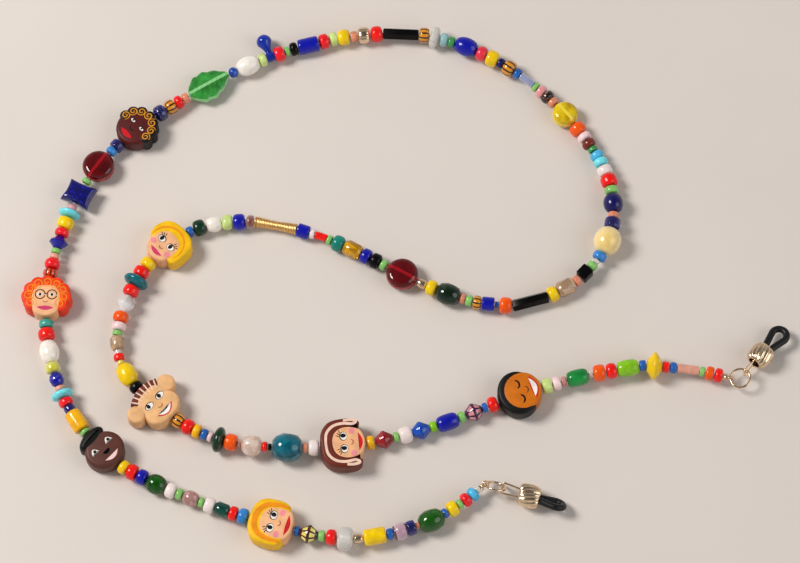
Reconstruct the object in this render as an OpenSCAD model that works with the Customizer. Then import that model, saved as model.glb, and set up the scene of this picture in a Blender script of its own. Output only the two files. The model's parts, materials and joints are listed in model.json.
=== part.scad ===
// Beaded eyeglass retainer strap, laid down in a loose double loop.
// Glass, clay and metal beads sit in a row on one stringing wire. At each end the wire is
// crimped around a wire guard, which carries a jump ring, a link and a rubber temple loop.
// A fluted bead sits over the neck of each loop and slides back over the link.
// The strap lies on the plane z = 0, and the strand is listed from end A to end B.

/* [Strand] */
// Diameter of the stringing wire
wire_d = 0.5; // [0.3:0.1:0.6]
// Diameter of the hole through a bead
bore_d = 1.4; // [1.3:0.1:1.5]
// Clear gap on both sides of a bead that turns on the wire
turn_gap = 0.2; // [0.15:0.05:0.25]

/* [Seed beads] */
// Smallest seed bead: length and diameter
tiny_size = [1.45, 2.9]; // [1.4:0.05:3]
// Small seed bead: length and diameter
small_size = [1.9, 3.2]; // [1.9:0.05:3.4]
// Middle seed bead: length and diameter
seed_size = [2.3, 4.1]; // [2.3:0.05:4.2]
// Large seed bead: length and diameter
pony_size = [2.9, 4.5]; // [2.9:0.1:4.6]
// Largest seed bead: length and diameter
large_size = [3.5, 4.8]; // [3.5:0.05:4.9]

/* [Face beads] */
// Height of a face bead from chin to crown, along the wire
face_l = 12.2; // [12:0.1:12.3]
// Width of a face bead across its hair
face_w = 12.8; // [12.4:0.1:13]
// Thickness of a face bead
face_t = 5.8; // [5:0.1:5.8]

/* [Other large beads] */
// Diameter of a glass coin bead
coin_d = 9.1; // [8.8:0.1:9.2]
// Thickness of a coin, leaf or pillow bead
flat_t = 4.4; // [3.6:0.1:4.6]
// Diameter of the yellow pearl
pearl_d = 7.8; // [7.4:0.1:7.9]

/* [End fittings] */
// Outer diameter of a jump ring
ring_d = 6.1; // [5.6:0.1:6.4]
// Diameter of the wire of a jump ring
ring_wire_d = 0.7; // [0.6:0.05:0.8]
// Diameter of the rubber cord of a temple loop
rubber_d = 1.9; // [1.7:0.1:2]
// Length and diameter of the fluted slide bead
slide_size = [5.8, 6.6]; // [5.4:0.1:6.6]

/* [Hidden] */
$fn = 40;

// Puts the middle of the strap's footprint on the origin
to_centre = [1.1, -0.75, 0.1];

// Route of the wire from end A to end B, at the height of its own centre
route = [
    [20.5, -59.85, 3.4], [7, -69.5, 3.2], [-15, -75, 3.4], [-37, -70.5, 3], [-58, -63.5, 2.9],
    [-77, -54.5, 2.9], [-90, -42, 3.2], [-98, -25, 3.1], [-100.5, -6, 3], [-97.5, 13, 3.1],
    [-91, 30, 3], [-79.5, 45, 2.9], [-63, 57, 2.8], [-45, 67.5, 2.9], [-20, 76, 2.8],
    [6, 76.5, 3.6], [26, 68.5, 3], [40, 57.5, 2.7], [50.5, 44.5, 2.7], [57.5, 30, 2.9],
    [57, 13.5, 4], [47, 0, 3], [29, -7, 2.7], [10.5, -3.5, 3.2], [-6, 5, 2.8],
    [-24, 14, 2.6], [-43, 18.5, 2.6], [-59, 16.5, 2.8], [-70.5, 8, 3.2], [-77, -3, 3.6],
    [-80.5, -17, 3], [-76.5, -29, 3], [-65, -39.5, 3], [-52, -46.5, 3.6], [-35.5, -49, 4.1],
    [-12, -47.7, 3], [12, -41, 2.9], [34, -32, 3], [65.5, -25, 4], [88, -28.2, 3]
];

// Bead types: shape, length along the wire, diameter or width
DOT = ["seed", 1, 1.9];
TINY = ["seed", tiny_size[0], tiny_size[1]];
SMALL = ["seed", small_size[0], small_size[1]];
SEED = ["seed", seed_size[0], seed_size[1]];
PONY = ["seed", pony_size[0], pony_size[1]];
LARGE = ["seed", large_size[0], large_size[1]];
SMALL_CUT = ["cut", 2.4, 3.2];
CUT_DRUM = ["cut", 3.9, 4];
LONG_DRUM = ["cut", 5.1, 4.6];
CUT_BALL = ["cut", 5.3, 5.8];
BIG_CUT = ["cut", 6.7, 6.2];
HUGE_CUT = ["cut", 8, 8];
BICONE = ["bicone", 4.9, 5.4];
FLAT_BICONE = ["bicone", 3.5, 5.4];
SMALL_BALL = ["ball", 2.6, 2.6];
ROUND = ["ball", 4.4, 4.4];
BALL = ["ball", 5.5, 5.6];
PEARL = ["ball", pearl_d, pearl_d];
OVAL = ["ball", 6.6, 5.5];
BARREL = ["tube", 6, 4.7];
TUBE = ["tube", 6, 4.6];
SHORT_TUBE = ["tube", 3.5, 4];
BUGLE = ["tube", 4.6, 2.2];
SHORT_BUGLE = ["tube", 3.4, 2.2];
LONG_BUGLE = ["tube", 6, 2.5];
DISC = ["ball", 2.1, 6.2];
RONDELLE = ["ball", 3, 7.2];
SAUCER = ["bicone", 4.1, 7.8];
BIG_DRUM = ["tube", 4.2, 6.6];
HEX = ["hex", 10.2, 4];
COIL = ["coil", 12, 3.1];
CUBE = ["cube", 3.5, 3.6];
FLOWER = ["flower", 2.5, 7.2];
FACE = ["face", face_l, face_w];
COIN = ["coin", coin_d, coin_d];
SMALL_COIN = ["coin", 7.4, 7.4];
LEAF = ["leaf", 12.8, 8];
PILLOW = ["pillow", 6.8, 8.6];
PENDANT = ["pendant", 1.7, 2.6];
TURNING_SHAPES = ["face", "coin", "leaf", "pillow", "pendant", "flower", "cube"];

// The strand: the node that each bead belongs to, and its type
strand = [
    ["clear_crystals", DOT], ["sky_beads", SEED], ["red_beads", SEED], ["light_green_beads", TINY],
    ["yellow_beads", PONY], ["sky_beads", TINY], ["green_crystals", BIG_CUT], ["pink_beads", DOT],
    ["navy_beads", SEED], ["rose_beads", LARGE], ["sky_beads", SMALL], ["yellow_tubes", TUBE],
    ["silver_spacers", SMALL_BALL], ["clear_drum", BIG_DRUM], ["red_beads", PONY],
    ["light_green_beads", SMALL], ["mirror_bicones", BICONE], ["sky_beads", TINY],
    ["face_blond_bob", FACE],
    ["sky_beads", PONY], ["red_beads", SEED], ["dark_green_beads", CUT_DRUM], ["white_beads", PONY],
    ["light_green_beads", TINY], ["rose_beads", ROUND], ["light_green_beads", SMALL],
    ["white_beads", PONY], ["dark_green_beads", BALL], ["navy_beads", PONY], ["red_beads", PONY],
    ["yellow_beads", SEED],
    ["face_beret", FACE],
    ["light_green_beads", TINY], ["yellow_tubes", TUBE], ["navy_beads", SMALL], ["red_beads", SEED],
    ["turquoise_discs", DISC], ["pink_beads", TINY], ["blue_crystals", CUT_DRUM],
    ["light_green_beads", PONY], ["white_ovals", OVAL], ["red_beads", LARGE], ["sky_beads", SEED],
    ["face_red_curls", FACE],
    ["striped_beads", SEED], ["red_beads", PONY], ["pink_beads", TINY], ["light_green_beads", TINY],
    ["blue_crystals", FLAT_BICONE], ["red_beads", SEED], ["yellow_beads", LARGE],
    ["turquoise_discs", DISC], ["pink_beads", TINY], ["pillow_bead", PILLOW],
    ["light_green_beads", TINY], ["ruby_coin_upper", COIN], ["sky_beads", SMALL],
    ["navy_beads", SEED],
    ["face_gold_curls", FACE],
    ["navy_beads", LARGE], ["striped_beads", PONY], ["red_beads", SEED], ["pink_beads", SMALL],
    ["leaf_bead", LEAF], ["blue_crystals", SMALL_CUT], ["white_ovals", OVAL],
    ["light_green_beads", SEED], ["teardrop_pendant", PENDANT], ["red_beads", PONY],
    ["light_green_beads", TINY], ["black_beads", SEED], ["cobalt_beads", TUBE],
    ["red_beads", PONY], ["light_green_beads", SEED], ["yellow_beads", LARGE], ["pink_beads", SMALL],
    ["silver_spacers", LARGE], ["red_beads", LARGE], ["black_tubes", HEX], ["striped_beads", PONY],
    ["flower_rondelle", FLOWER], ["sky_beads", SEED], ["light_green_beads", SMALL],
    ["cobalt_beads", OVAL], ["pink_beads", PONY], ["yellow_beads", LARGE], ["navy_beads", SMALL],
    ["striped_beads", LARGE], ["sky_beads", SMALL], ["bugle_beads", BUGLE],
    ["light_green_beads", TINY], ["pink_beads", SEED], ["black_beads", SEED], ["pink_beads", SMALL],
    ["yellow_coin", SMALL_COIN],
    ["orange_beads", LARGE], ["pink_beads", SEED], ["amber_beads", SEED],
    ["light_green_beads", TINY], ["sky_beads", SEED], ["sky_beads", SEED], ["white_beads", PONY],
    ["red_beads", LARGE], ["light_green_beads", SEED], ["cobalt_beads", BALL], ["pink_beads", SMALL],
    ["navy_beads", PONY],
    ["pearls", PEARL],
    ["sky_beads", SEED], ["clear_crystals", DOT], ["light_green_beads", SMALL],
    ["black_cube", CUBE], ["pink_beads", SMALL], ["smoky_drums", LONG_DRUM],
    ["yellow_beads", PONY], ["black_tubes", HEX], ["orange_beads", LARGE], ["sky_beads", DOT],
    ["cobalt_beads", SHORT_TUBE], ["striped_beads", SEED], ["light_green_beads", SMALL],
    ["pink_beads", TINY], ["green_crystals", BIG_CUT], ["yellow_beads", PONY],
    ["silver_spacers", SMALL_BALL],
    ["ruby_coin_middle", COIN],
    ["light_green_beads", SMALL], ["black_beads", PONY], ["navy_beads", PONY],
    ["smoky_drums", LONG_DRUM], ["sky_beads", LARGE], ["light_green_beads", TINY],
    ["bugle_beads", SHORT_BUGLE], ["white_beads", TINY], ["cobalt_beads", SHORT_TUBE],
    ["gold_coil_tube", COIL],
    ["amber_beads", SEED], ["navy_beads", LARGE], ["light_green_beads", PONY], ["pearls", ROUND],
    ["dark_green_beads", LARGE], ["sky_beads", SMALL],
    ["face_blond_fringe", FACE],
    ["yellow_beads", PONY], ["red_beads", PONY], ["glass_rondelles", RONDELLE],
    ["red_beads", PONY], ["clear_crystals", BICONE], ["orange_beads", PONY],
    ["pink_beads", SEED], ["light_green_beads", TINY], ["smoky_drums", CUT_DRUM],
    ["clear_crystals", DOT], ["red_beads", SMALL], ["white_beads", DOT],
    ["yellow_tubes", OVAL], ["black_beads", SEED],
    ["face_big_ears", FACE],
    ["striped_beads", PONY], ["red_beads", PONY], ["amber_beads", SEED], ["sky_beads", SMALL],
    ["pink_beads", TINY], ["glass_rondelles", RONDELLE], ["orange_beads", LARGE],
    ["pink_beads", DOT], ["clear_crystals", CUT_BALL], ["red_beads", TINY],
    ["black_beads", DOT], ["teal_crystal", HUGE_CUT], ["pink_beads", TINY], ["white_beads", PONY],
    ["face_striped_hair", FACE],
    ["yellow_beads", SEED], ["ruby_bicone", BICONE], ["light_green_beads", TINY],
    ["white_beads", LARGE], ["blue_crystals", BICONE], ["light_green_beads", SMALL],
    ["cobalt_beads", BARREL], ["light_green_beads", SMALL], ["mirror_bicones", BICONE],
    ["sky_beads", TINY], ["red_beads", PONY],
    ["face_black_crescent", FACE],
    ["light_green_beads", PONY], ["pink_beads", SEED], ["pink_beads", TINY],
    ["green_barrels", BARREL], ["clear_crystals", DOT], ["orange_beads", LARGE],
    ["red_beads", PONY], ["green_barrels", BARREL], ["sky_beads", SMALL], ["yellow_saucer", SAUCER],
    ["red_beads", SMALL], ["sky_beads", SMALL], ["bugle_beads", LONG_BUGLE],
    ["light_green_beads", TINY], ["orange_beads", SEED], ["red_beads", SEED]
];

// The wire's centreline: a smooth curve through the route, with two stations to each stretch
last_stop = len(route) - 1;
function smooth(a, b, c, d, t) =
    b + 0.5 * t * (c - a + t * (2 * a - 5 * b + 4 * c - d + t * (3 * (b - c) + d - a)));
function on_route(i, t) =
    smooth(route[max(i - 1, 0)], route[i], route[i + 1], route[min(i + 2, last_stop)], t);
wire_path = [
    for (i = [0 : last_stop - 1], t = [0, 0.5]) on_route(i, t) + to_centre,
    route[last_stop] + to_centre
];
last_station = len(wire_path) - 1;
path_s = [
    for (i = 0, s = 0;
         i <= last_station;
         s = s + norm(wire_path[min(i + 1, last_station)] - wire_path[i]), i = i + 1) s
];
wire_l = path_s[last_station];
coord_tables = [
    for (k = [0 : 2]) [for (i = [0 : last_station]) [path_s[i], wire_path[i][k]]]
];
function wire_at(s) = [for (k = [0 : 2]) lookup(s, coord_tables[k])];
function unit(v) = v / norm(v);

// Beads in a row along the wire, with the slack shared out between them
crimp_l = 1;
crimp_d = 1.9;
bead_count = len(strand);
function bead_l(i) = strand[i][1][1];
function turns(i) = len([for (shape = TURNING_SHAPES) if (shape == strand[i][1][0]) shape]) > 0;
function side_gap(i) = turns(i) ? turn_gap : 0;
function sum(v, i = 0) = i < len(v) ? v[i] + sum(v, i + 1) : 0;
filled_l = sum([for (i = [0 : bead_count - 1]) bead_l(i) + 2 * side_gap(i)]);
slack = (wire_l - 2 * (crimp_l + 0.2) - filled_l) / (bead_count - 1);
starts = [
    for (i = 0, s = crimp_l + 0.2;
         i < bead_count;
         s = s + bead_l(i) + slack + 2 * side_gap(i), i = i + 1) s + side_gap(i)
];
function places(name) = [for (i = [0 : bead_count - 1]) if (strand[i][0] == name) i];

// Puts its children on bead i of the strand, with +X along the wire towards end B
module on_wire(i) {
    from = wire_at(starts[i]);
    to = wire_at(starts[i] + bead_l(i));
    middle = wire_at(starts[i] + bead_l(i) / 2);
    run = to - from;
    translate((from + to) / 4 + middle / 2)
        rotate([0, -asin(run.z / norm(run)), atan2(run.y, run.x)])
            children();
}

module place_beads(name) {
    for (i = places(name)) on_wire(i) bead(strand[i][1]);
}

module place_one(name) {
    on_wire(places(name)[0]) children();
}

// Bead shapes, each centred on its own hole, which runs along X
bore_r = bore_d / 2;
rim = 0.2;
function power(x, p) = sign(x) * pow(abs(x), 2 / p);
// Half section of a round bead: p is 2 for an ellipse and more for a squarer shoulder
function round_section(l, d, p) = [
    [bore_r, -l / 2],
    for (a = [-90 : 22.5 : 90])
        [bore_r + rim + (d / 2 - bore_r - rim) * power(cos(a), p), l / 2 * power(sin(a), p)],
    [bore_r, l / 2]
];

module round_bead(l, d, p) {
    rotate([0, 90, 0]) rotate_extrude() polygon(round_section(l, d, p));
}

module bicone_bead(l, d, sides = 8) {
    end_r = bore_r + 0.35;
    rotate([0, 90, 0]) rotate_extrude($fn = sides)
        polygon([[bore_r, -l / 2], [end_r, -l / 2], [d / 2, -l / 20],
                 [d / 2, l / 20], [end_r, l / 2], [bore_r, l / 2]]);
}

module cut_bead(l, d, sides = 8) {
    shoulder_r = d * 0.41;
    end_r = max(d * 0.22, bore_r + 0.2);
    rotate([0, 90, 0]) rotate_extrude($fn = sides)
        polygon([[bore_r, -l / 2], [end_r, -l / 2], [shoulder_r, -l * 0.32], [d / 2, -l * 0.1],
                 [d / 2, l * 0.1], [shoulder_r, l * 0.32], [end_r, l / 2], [bore_r, l / 2]]);
}

module hex_bead(l, d) {
    end_r = bore_r + 0.35;
    break_l = 0.6;
    rotate([0, 90, 0]) rotate_extrude($fn = 6)
        polygon([[bore_r, -l / 2], [end_r, -l / 2], [d / 2, break_l - l / 2],
                 [d / 2, l / 2 - break_l], [end_r, l / 2], [bore_r, l / 2]]);
}

module coil_bead(l, d, turns = 16) {
    wrap_r = 0.22;
    rotate([0, 90, 0]) rotate_extrude() polygon([
        [bore_r, -l / 2],
        for (k = [0 : turns * 4])
            [d / 2 - wrap_r * (1 - abs(sin(k * 45))), -l / 2 + k * l / (turns * 4)],
        [bore_r, l / 2]
    ]);
}

module cross_bore(l) {
    rotate([0, 90, 0]) cylinder(h = l + 2, d = bore_d, center = true);
}

module cube_bead(size) {
    difference() {
        cube(size, center = true);
        cross_bore(size);
    }
}

module flower_bead(l, d, petals = 6) {
    petal_r = d * 0.18;
    rotate([0, 90, 0]) difference() {
        union() {
            cylinder(h = l, r = d / 2 - petal_r, center = true);
            for (k = [0 : petals - 1])
                rotate(k * 360 / petals) translate([d / 2 - petal_r, 0, 0])
                    cylinder(h = l * 0.8, r = petal_r, center = true);
        }
        cylinder(h = l + 1, d = bore_d, center = true);
    }
}

// A disc with a rounded rim, lying flat around the Z axis
module flat_disc(r, t, p = 3.2) {
    rotate_extrude() polygon([
        for (a = [-90 : 15 : 90]) [r * power(cos(a), p), t / 2 * power(sin(a), p)]
    ]);
}

module coin_bead(d) {
    difference() {
        flat_disc(d / 2, flat_t);
        cross_bore(d);
    }
}

module leaf_bead_shape(l, w, lobes = 5) {
    steps = 20;
    function half_w(u) = w / 2 * pow(sin(180 * u), 0.7) * (0.9 + 0.1 * cos(360 * lobes * u));
    edge = [for (k = [0 : steps]) [l * (k / steps - 0.5), half_w(k / steps) + 0.9]];
    difference() {
        linear_extrude(flat_t * 0.8, center = true)
            polygon([for (p = edge) p, for (k = [steps : -1 : 0]) [edge[k].x, -edge[k].y]]);
        cross_bore(l);
    }
}

module pillow_bead_shape(l, w) {
    dip = 0.9;
    steps = 6;
    function bow(k) = dip * sin(180 * k / steps);
    corners = [
        for (k = [0 : steps - 1]) [l / 2 - bow(k), w * (k / steps - 0.5)],
        for (k = [0 : steps - 1]) [l * (0.5 - k / steps), w / 2 - bow(k)],
        for (k = [0 : steps - 1]) [-l / 2 + bow(k), w * (0.5 - k / steps)],
        for (k = [0 : steps - 1]) [l * (k / steps - 0.5), -w / 2 + bow(k)]
    ];
    difference() {
        linear_extrude(flat_t, center = true) polygon(corners);
        cross_bore(l);
    }
}

module bead(type) {
    shape = type[0];
    l = type[1];
    d = type[2];
    if (shape == "seed") round_bead(l, d, 2.3);
    if (shape == "ball") round_bead(l, d, 2);
    if (shape == "tube") round_bead(l, d, 4);
    if (shape == "bicone") bicone_bead(l, d);
    if (shape == "cut") cut_bead(l, d);
    if (shape == "hex") hex_bead(l, d);
    if (shape == "coil") coil_bead(l, d);
    if (shape == "cube") cube_bead(l);
    if (shape == "flower") flower_bead(l, d);
    if (shape == "coin") coin_bead(d);
    if (shape == "leaf") leaf_bead_shape(l, d);
    if (shape == "pillow") pillow_bead_shape(l, d);
}

// Face beads: the crown points along +X, and the hair is the module's children
head_r = 5.5;
chin_x = -face_l / 2;

module face_bead() {
    difference() {
        union() {
            translate([chin_x + head_r, 0, 0]) flat_disc(head_r, face_t);
            children();
        }
        cross_bore(face_l);
    }
}

// Curls of hair in an oval row around the crown
module curls(count, spread, curl_r, hair_w) {
    for (k = [0 : count - 1]) {
        a = spread * (k / (count - 1) - 0.5);
        translate([(face_l / 2 - curl_r) * cos(a), (hair_w / 2 - curl_r) * sin(a), 0])
            cylinder(h = face_t * 0.9, r = curl_r, center = true);
    }
}

// A cap of hair around the crown, with a lock hanging down at each side
module bob(lock_r, lock_x) {
    cap_r = face_l / 2 - 0.2;
    translate([face_l / 2 - cap_r, 0, 0]) flat_disc(cap_r, face_t * 0.9, 4);
    for (side = [-1, 1]) translate([lock_x, side * (face_w / 2 - lock_r), 0])
        cylinder(h = face_t * 0.8, r = lock_r, center = true);
}

// Half turn in the table plane, for the faces whose crown points towards end A
module towards_a() {
    rotate([0, 0, 180]) children();
}

// End fittings. In a fitting's own frame the guard is at the origin, the jump ring lies
// beyond it along +X, and Y is the ring's hinge line through the guard.
guard_wire_d = 0.5;
guard_r = 0.8;
ring_r = (ring_d - ring_wire_d) / 2;
link_wire_d = 0.6;
link_bend_d = 0.64;
link_back = 0.85;
link_l = 6.2;
link_wide = 1.6;
link_narrow = 1.05;
slide_bore_d = 4.1;
slide_mouth_d = 3.5;
loop_turn_r = 1;
stretched_d = 1.3;
loop_neck_y = rubber_d / 2 + 0.05;
loop_tip_r = 2.1;
loop_tip_x = 14.3;

// How each fitting lies: where its guard is, the heading of its ring in the table plane,
// the lean of the ring about that heading, the upward tilt of the ring, the place of the
// link around the ring, the droop of the link out of the ring's plane, and how far along
// the link the middle of the slide bead is
guard_reach = guard_r + guard_wire_d / 2;
end_a = wire_path[0] + guard_reach * unit(wire_path[0] - wire_path[1]);
end_b = wire_path[last_station]
    + guard_reach * unit(wire_path[last_station] - wire_path[last_station - 1]);
fitting_a = [end_a, -14, -50, -1, -2, 3, 6.8];
fitting_b = [end_b, -4, 0, 10, 53, 9, 6.2];

module ring_frame(fitting) {
    heading = fitting[1];
    lean = fitting[2];
    tilt = fitting[3];
    translate(fitting[0]) rotate([lean, -tilt, heading]) children();
}

module link_frame(fitting) {
    around = fitting[4];
    droop = fitting[5];
    ring_frame(fitting) translate([ring_r, 0, 0]) rotate([0, 0, around])
        translate([ring_r, 0, 0]) rotate([0, droop, 0]) children();
}

module wire_guard() {
    rotate([90, 0, 0]) rotate_extrude() translate([guard_r, 0]) circle(d = guard_wire_d);
}

module jump_ring() {
    split_angle = 4;
    translate([ring_r, 0, 0]) rotate(30) rotate_extrude(angle = 360 - split_angle)
        translate([ring_r, 0]) circle(d = ring_wire_d);
}

// A closed wire trapezoid in the XZ plane, wide at the ring and narrow in the rubber loop
module temple_link() {
    corners = [[-link_back, -link_wide], [-link_back, link_wide],
               [link_l, link_narrow], [link_l, -link_narrow]];
    for (k = [0 : 3]) {
        from = corners[k];
        side = corners[(k + 1) % 4] - from;
        translate([from.x, 0, from.y]) {
            sphere(d = link_bend_d);
            rotate([0, 90 - atan2(side.y, side.x), 0]) cylinder(h = norm(side), d = link_wire_d);
        }
    }
}

// Centreline of the rubber loop, with its diameter at each point: a tight turn, where it
// is stretched around the link's bar, a neck through the slide bead, and a wide turn
loop_half = [
    for (a = [180 : -22.5 : 90])
        [link_l + loop_turn_r * cos(a), loop_turn_r * sin(a), stretched_d],
    [link_l + 1.2, loop_neck_y, rubber_d],
    [link_l + 3.4, loop_neck_y, rubber_d],
    for (a = [110 : -18 : 20])
        [loop_tip_x + loop_tip_r * cos(a), loop_tip_r * sin(a), rubber_d]
];
loop_stops = [
    for (p = loop_half) p,
    [loop_tip_x + loop_tip_r, 0, rubber_d],
    for (k = [len(loop_half) - 1 : -1 : 1]) [loop_half[k].x, -loop_half[k].y, loop_half[k].z]
];

// A tube swept along a list of points, closed into a ring or capped at both ends, with one
// diameter for each point
module swept_tube(path, diameters, sides, closed) {
    n = len(path);
    function before(i) = closed ? path[(i + n - 1) % n] : path[max(i - 1, 0)];
    function after(i) = closed ? path[(i + 1) % n] : path[min(i + 1, n - 1)];
    function ring_points(i) =
        let (along = unit(after(i) - before(i)), across = unit(cross(along, [0, 0, 1])))
        [for (k = [0 : sides - 1])
            path[i] + diameters[i] / 2 * (cos(k * 360 / sides) * across
                + sin(k * 360 / sides) * cross(across, along))];
    rings = closed ? n : n - 1;
    walls = [
        for (i = [0 : rings - 1], k = [0 : sides - 1])
            let (a = i * sides + k, b = i * sides + (k + 1) % sides,
                 c = ((i + 1) % n) * sides + (k + 1) % sides, e = ((i + 1) % n) * sides + k)
            [a, b, c, e]
    ];
    caps = closed ? [] : [
        [for (k = [sides - 1 : -1 : 0]) k],
        [for (k = [0 : sides - 1]) (n - 1) * sides + k]
    ];
    polyhedron([for (i = [0 : n - 1]) each ring_points(i)], concat(walls, caps));
}

module rubber_loop() {
    swept_tube([for (p = loop_stops) [p.x, p.y, 0]], [for (p = loop_stops) p.z], 10, true);
}

// A fluted round bead, with a narrower mouth at the link's end of its bore
module slide_bead(fitting, flutes = 14) {
    l = slide_size[0];
    d = slide_size[1];
    bore = slide_bore_d / 2;
    mouth = slide_mouth_d / 2;
    mouth_l = 0.6;
    link_frame(fitting) translate([fitting[6], 0, 0]) rotate([0, 90, 0]) difference() {
        rotate_extrude() polygon([
            [mouth, -l / 2],
            for (a = [-80 : 16 : 80]) [bore + 0.15 + (d / 2 - bore - 0.15) * cos(a),
                                       l / 2 * sin(a) / sin(80)],
            [bore, l / 2],
            [bore, mouth_l - l / 2],
            [mouth, mouth_l - l / 2]
        ]);
        for (k = [0 : flutes - 1])
            rotate(k * 360 / flutes) translate([d / 2 + 0.12, 0, 0])
                cylinder(h = l + 1, r = 0.35, center = true);
    }
}

// ---- Nodes: wire and end fittings ----
module stringing_wire() color("gainsboro")
    swept_tube(wire_path, [for (p = wire_path) wire_d], 8, false);

module crimp_tubes() color("silver") {
    for (s = [0.05, wire_l - crimp_l - 0.05]) {
        from = wire_at(s);
        run = wire_at(s + crimp_l) - from;
        translate(from) rotate([0, 90 - asin(run.z / norm(run)), atan2(run.y, run.x)])
            difference() {
                cylinder(h = crimp_l, d = crimp_d);
                translate([0, 0, -1]) cylinder(h = crimp_l + 2, d = wire_d + 0.3);
            }
    }
}

module wire_guards() color("silver") {
    ring_frame(fitting_a) wire_guard();
    ring_frame(fitting_b) wire_guard();
}

module jump_ring_a() color("silver") ring_frame(fitting_a) jump_ring();
module temple_link_a() color("silver") link_frame(fitting_a) temple_link();
module rubber_loop_a() color("#161618") link_frame(fitting_a) rubber_loop();
module slide_bead_a() color("silver") slide_bead(fitting_a);
module jump_ring_b() color("silver") ring_frame(fitting_b) jump_ring();
module temple_link_b() color("silver") link_frame(fitting_b) temple_link();
module rubber_loop_b() color("#161618") link_frame(fitting_b) rubber_loop();
module slide_bead_b() color("silver") slide_bead(fitting_b);

// ---- Nodes: face beads ----
module face_blond_bob() color("goldenrod") place_one("face_blond_bob")
    face_bead() bob(2.1, -2.6);

module face_beret() color("saddlebrown") place_one("face_beret") {
    beret_r = 2.2;
    beret_w = 8.4;
    face_bead() translate([face_l / 2 - beret_r, 0, 0]) rotate([90, 0, 0]) {
        cylinder(h = beret_w - 2 * beret_r, r = beret_r, center = true);
        for (end = [-1, 1]) translate([0, 0, end * (beret_w / 2 - beret_r)]) sphere(r = beret_r);
    }
}

module face_red_curls() color("orangered") place_one("face_red_curls")
    face_bead() curls(9, 250, 2.1, 14);

module face_gold_curls() color("maroon") place_one("face_gold_curls")
    face_bead() curls(7, 190, 1.7, 12.4);

module face_blond_fringe() color("gold") place_one("face_blond_fringe") towards_a()
    face_bead() bob(1.6, -1.4);

module face_big_ears() color("tan") place_one("face_big_ears") towards_a() {
    ear_r = 2.6;
    ears_w = 17.2;
    tuft_r = 4.2;
    face_bead() {
        for (side = [-1, 1]) translate([1.7, side * (ears_w / 2 - ear_r), 0])
            cylinder(h = face_t * 0.9, r = ear_r, center = true);
        translate([face_l / 2 - tuft_r, 0, 0])
            cylinder(h = face_t * 0.9, r = tuft_r, center = true);
    }
}

module face_striped_hair() color("sienna") place_one("face_striped_hair") towards_a() {
    band_w = 14;
    curl_r = 1.7;
    face_bead() {
        curls(7, 180, 2, band_w - 1.2);
        for (side = [-1, 1]) translate([-3.2, side * (band_w / 2 - curl_r), 0])
            cylinder(h = face_t * 0.8, r = curl_r, center = true);
    }
}

module face_black_crescent() color("peru") place_one("face_black_crescent") towards_a() {
    hair_r = face_l / 2 - 0.1;
    face_bead() for (side = [-1, 1])
        translate([face_l / 2 - hair_r, side * (face_w / 2 - hair_r), 0])
            flat_disc(hair_r, face_t * 0.85);
}

// ---- Nodes: single large beads ----
module ruby_coin_upper() color("firebrick") place_beads("ruby_coin_upper");
module ruby_coin_middle() color("firebrick") place_beads("ruby_coin_middle");
module yellow_coin() color("gold") place_beads("yellow_coin");
module leaf_bead() color("mediumseagreen") place_beads("leaf_bead");
module pillow_bead() color("midnightblue") place_beads("pillow_bead");

// A drop on its side, with the wire through its neck and its bulb to the outside
module teardrop_pendant() color("royalblue") place_one("teardrop_pendant") {
    bulb_r = 2.2;
    bulb_y = 5.2;
    neck_r = 1.3;
    difference() {
        union() {
            rotate([0, 90, 0]) cylinder(h = PENDANT[1], r = neck_r, center = true);
            rotate([-90, 0, 0]) cylinder(h = bulb_y, r = 0.75);
            translate([0, neck_r - 0.2, 0]) rotate([-90, 0, 0])
                cylinder(h = bulb_y - neck_r, r1 = 0.7, r2 = bulb_r * 0.95);
            translate([0, bulb_y, 0]) sphere(r = bulb_r);
        }
        cross_bore(PENDANT[1]);
    }
}

module flower_rondelle() color("lightcyan") place_beads("flower_rondelle");
module black_cube() color("#202020") place_beads("black_cube");
module gold_coil_tube() color("goldenrod") place_beads("gold_coil_tube");
module black_tubes() color("#181818") place_beads("black_tubes");
module yellow_tubes() color("gold") place_beads("yellow_tubes");
module yellow_saucer() color("yellow") place_beads("yellow_saucer");
module pearls() color("khaki") place_beads("pearls");
module silver_spacers() color("silver") place_beads("silver_spacers");

// ---- Nodes: cut glass ----
module clear_crystals() color("whitesmoke") place_beads("clear_crystals");
module smoky_drums() color("burlywood") place_beads("smoky_drums");
module green_crystals() color("darkgreen") place_beads("green_crystals");
module teal_crystal() color("teal") place_beads("teal_crystal");
module glass_rondelles() color("darkcyan") place_beads("glass_rondelles");
module ruby_bicone() color("darkred") place_beads("ruby_bicone");
module blue_crystals() color("mediumblue") place_beads("blue_crystals");
module mirror_bicones() color("indigo") place_beads("mirror_bicones");
module clear_drum() color("linen") place_beads("clear_drum");
module rose_beads() color("rosybrown") place_beads("rose_beads");
module dark_green_beads() color("darkslategray") place_beads("dark_green_beads");
module cobalt_beads() color("darkblue") place_beads("cobalt_beads");
module white_ovals() color("ivory") place_beads("white_ovals");
module green_barrels() color("forestgreen") place_beads("green_barrels");
module bugle_beads() color("salmon") place_beads("bugle_beads");
module turquoise_discs() color("turquoise") place_beads("turquoise_discs");

// ---- Nodes: seed beads by colour ----
module red_beads() color("red") place_beads("red_beads");
module yellow_beads() color("gold") place_beads("yellow_beads");
module orange_beads() color("darkorange") place_beads("orange_beads");
module white_beads() color("white") place_beads("white_beads");
module light_green_beads() color("lightgreen") place_beads("light_green_beads");
module navy_beads() color("navy") place_beads("navy_beads");
module sky_beads() color("deepskyblue") place_beads("sky_beads");
module black_beads() color("black") place_beads("black_beads");
module pink_beads() color("lightpink") place_beads("pink_beads");
module striped_beads() color("orange") place_beads("striped_beads");
module amber_beads() color("sienna") place_beads("amber_beads");

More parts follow.
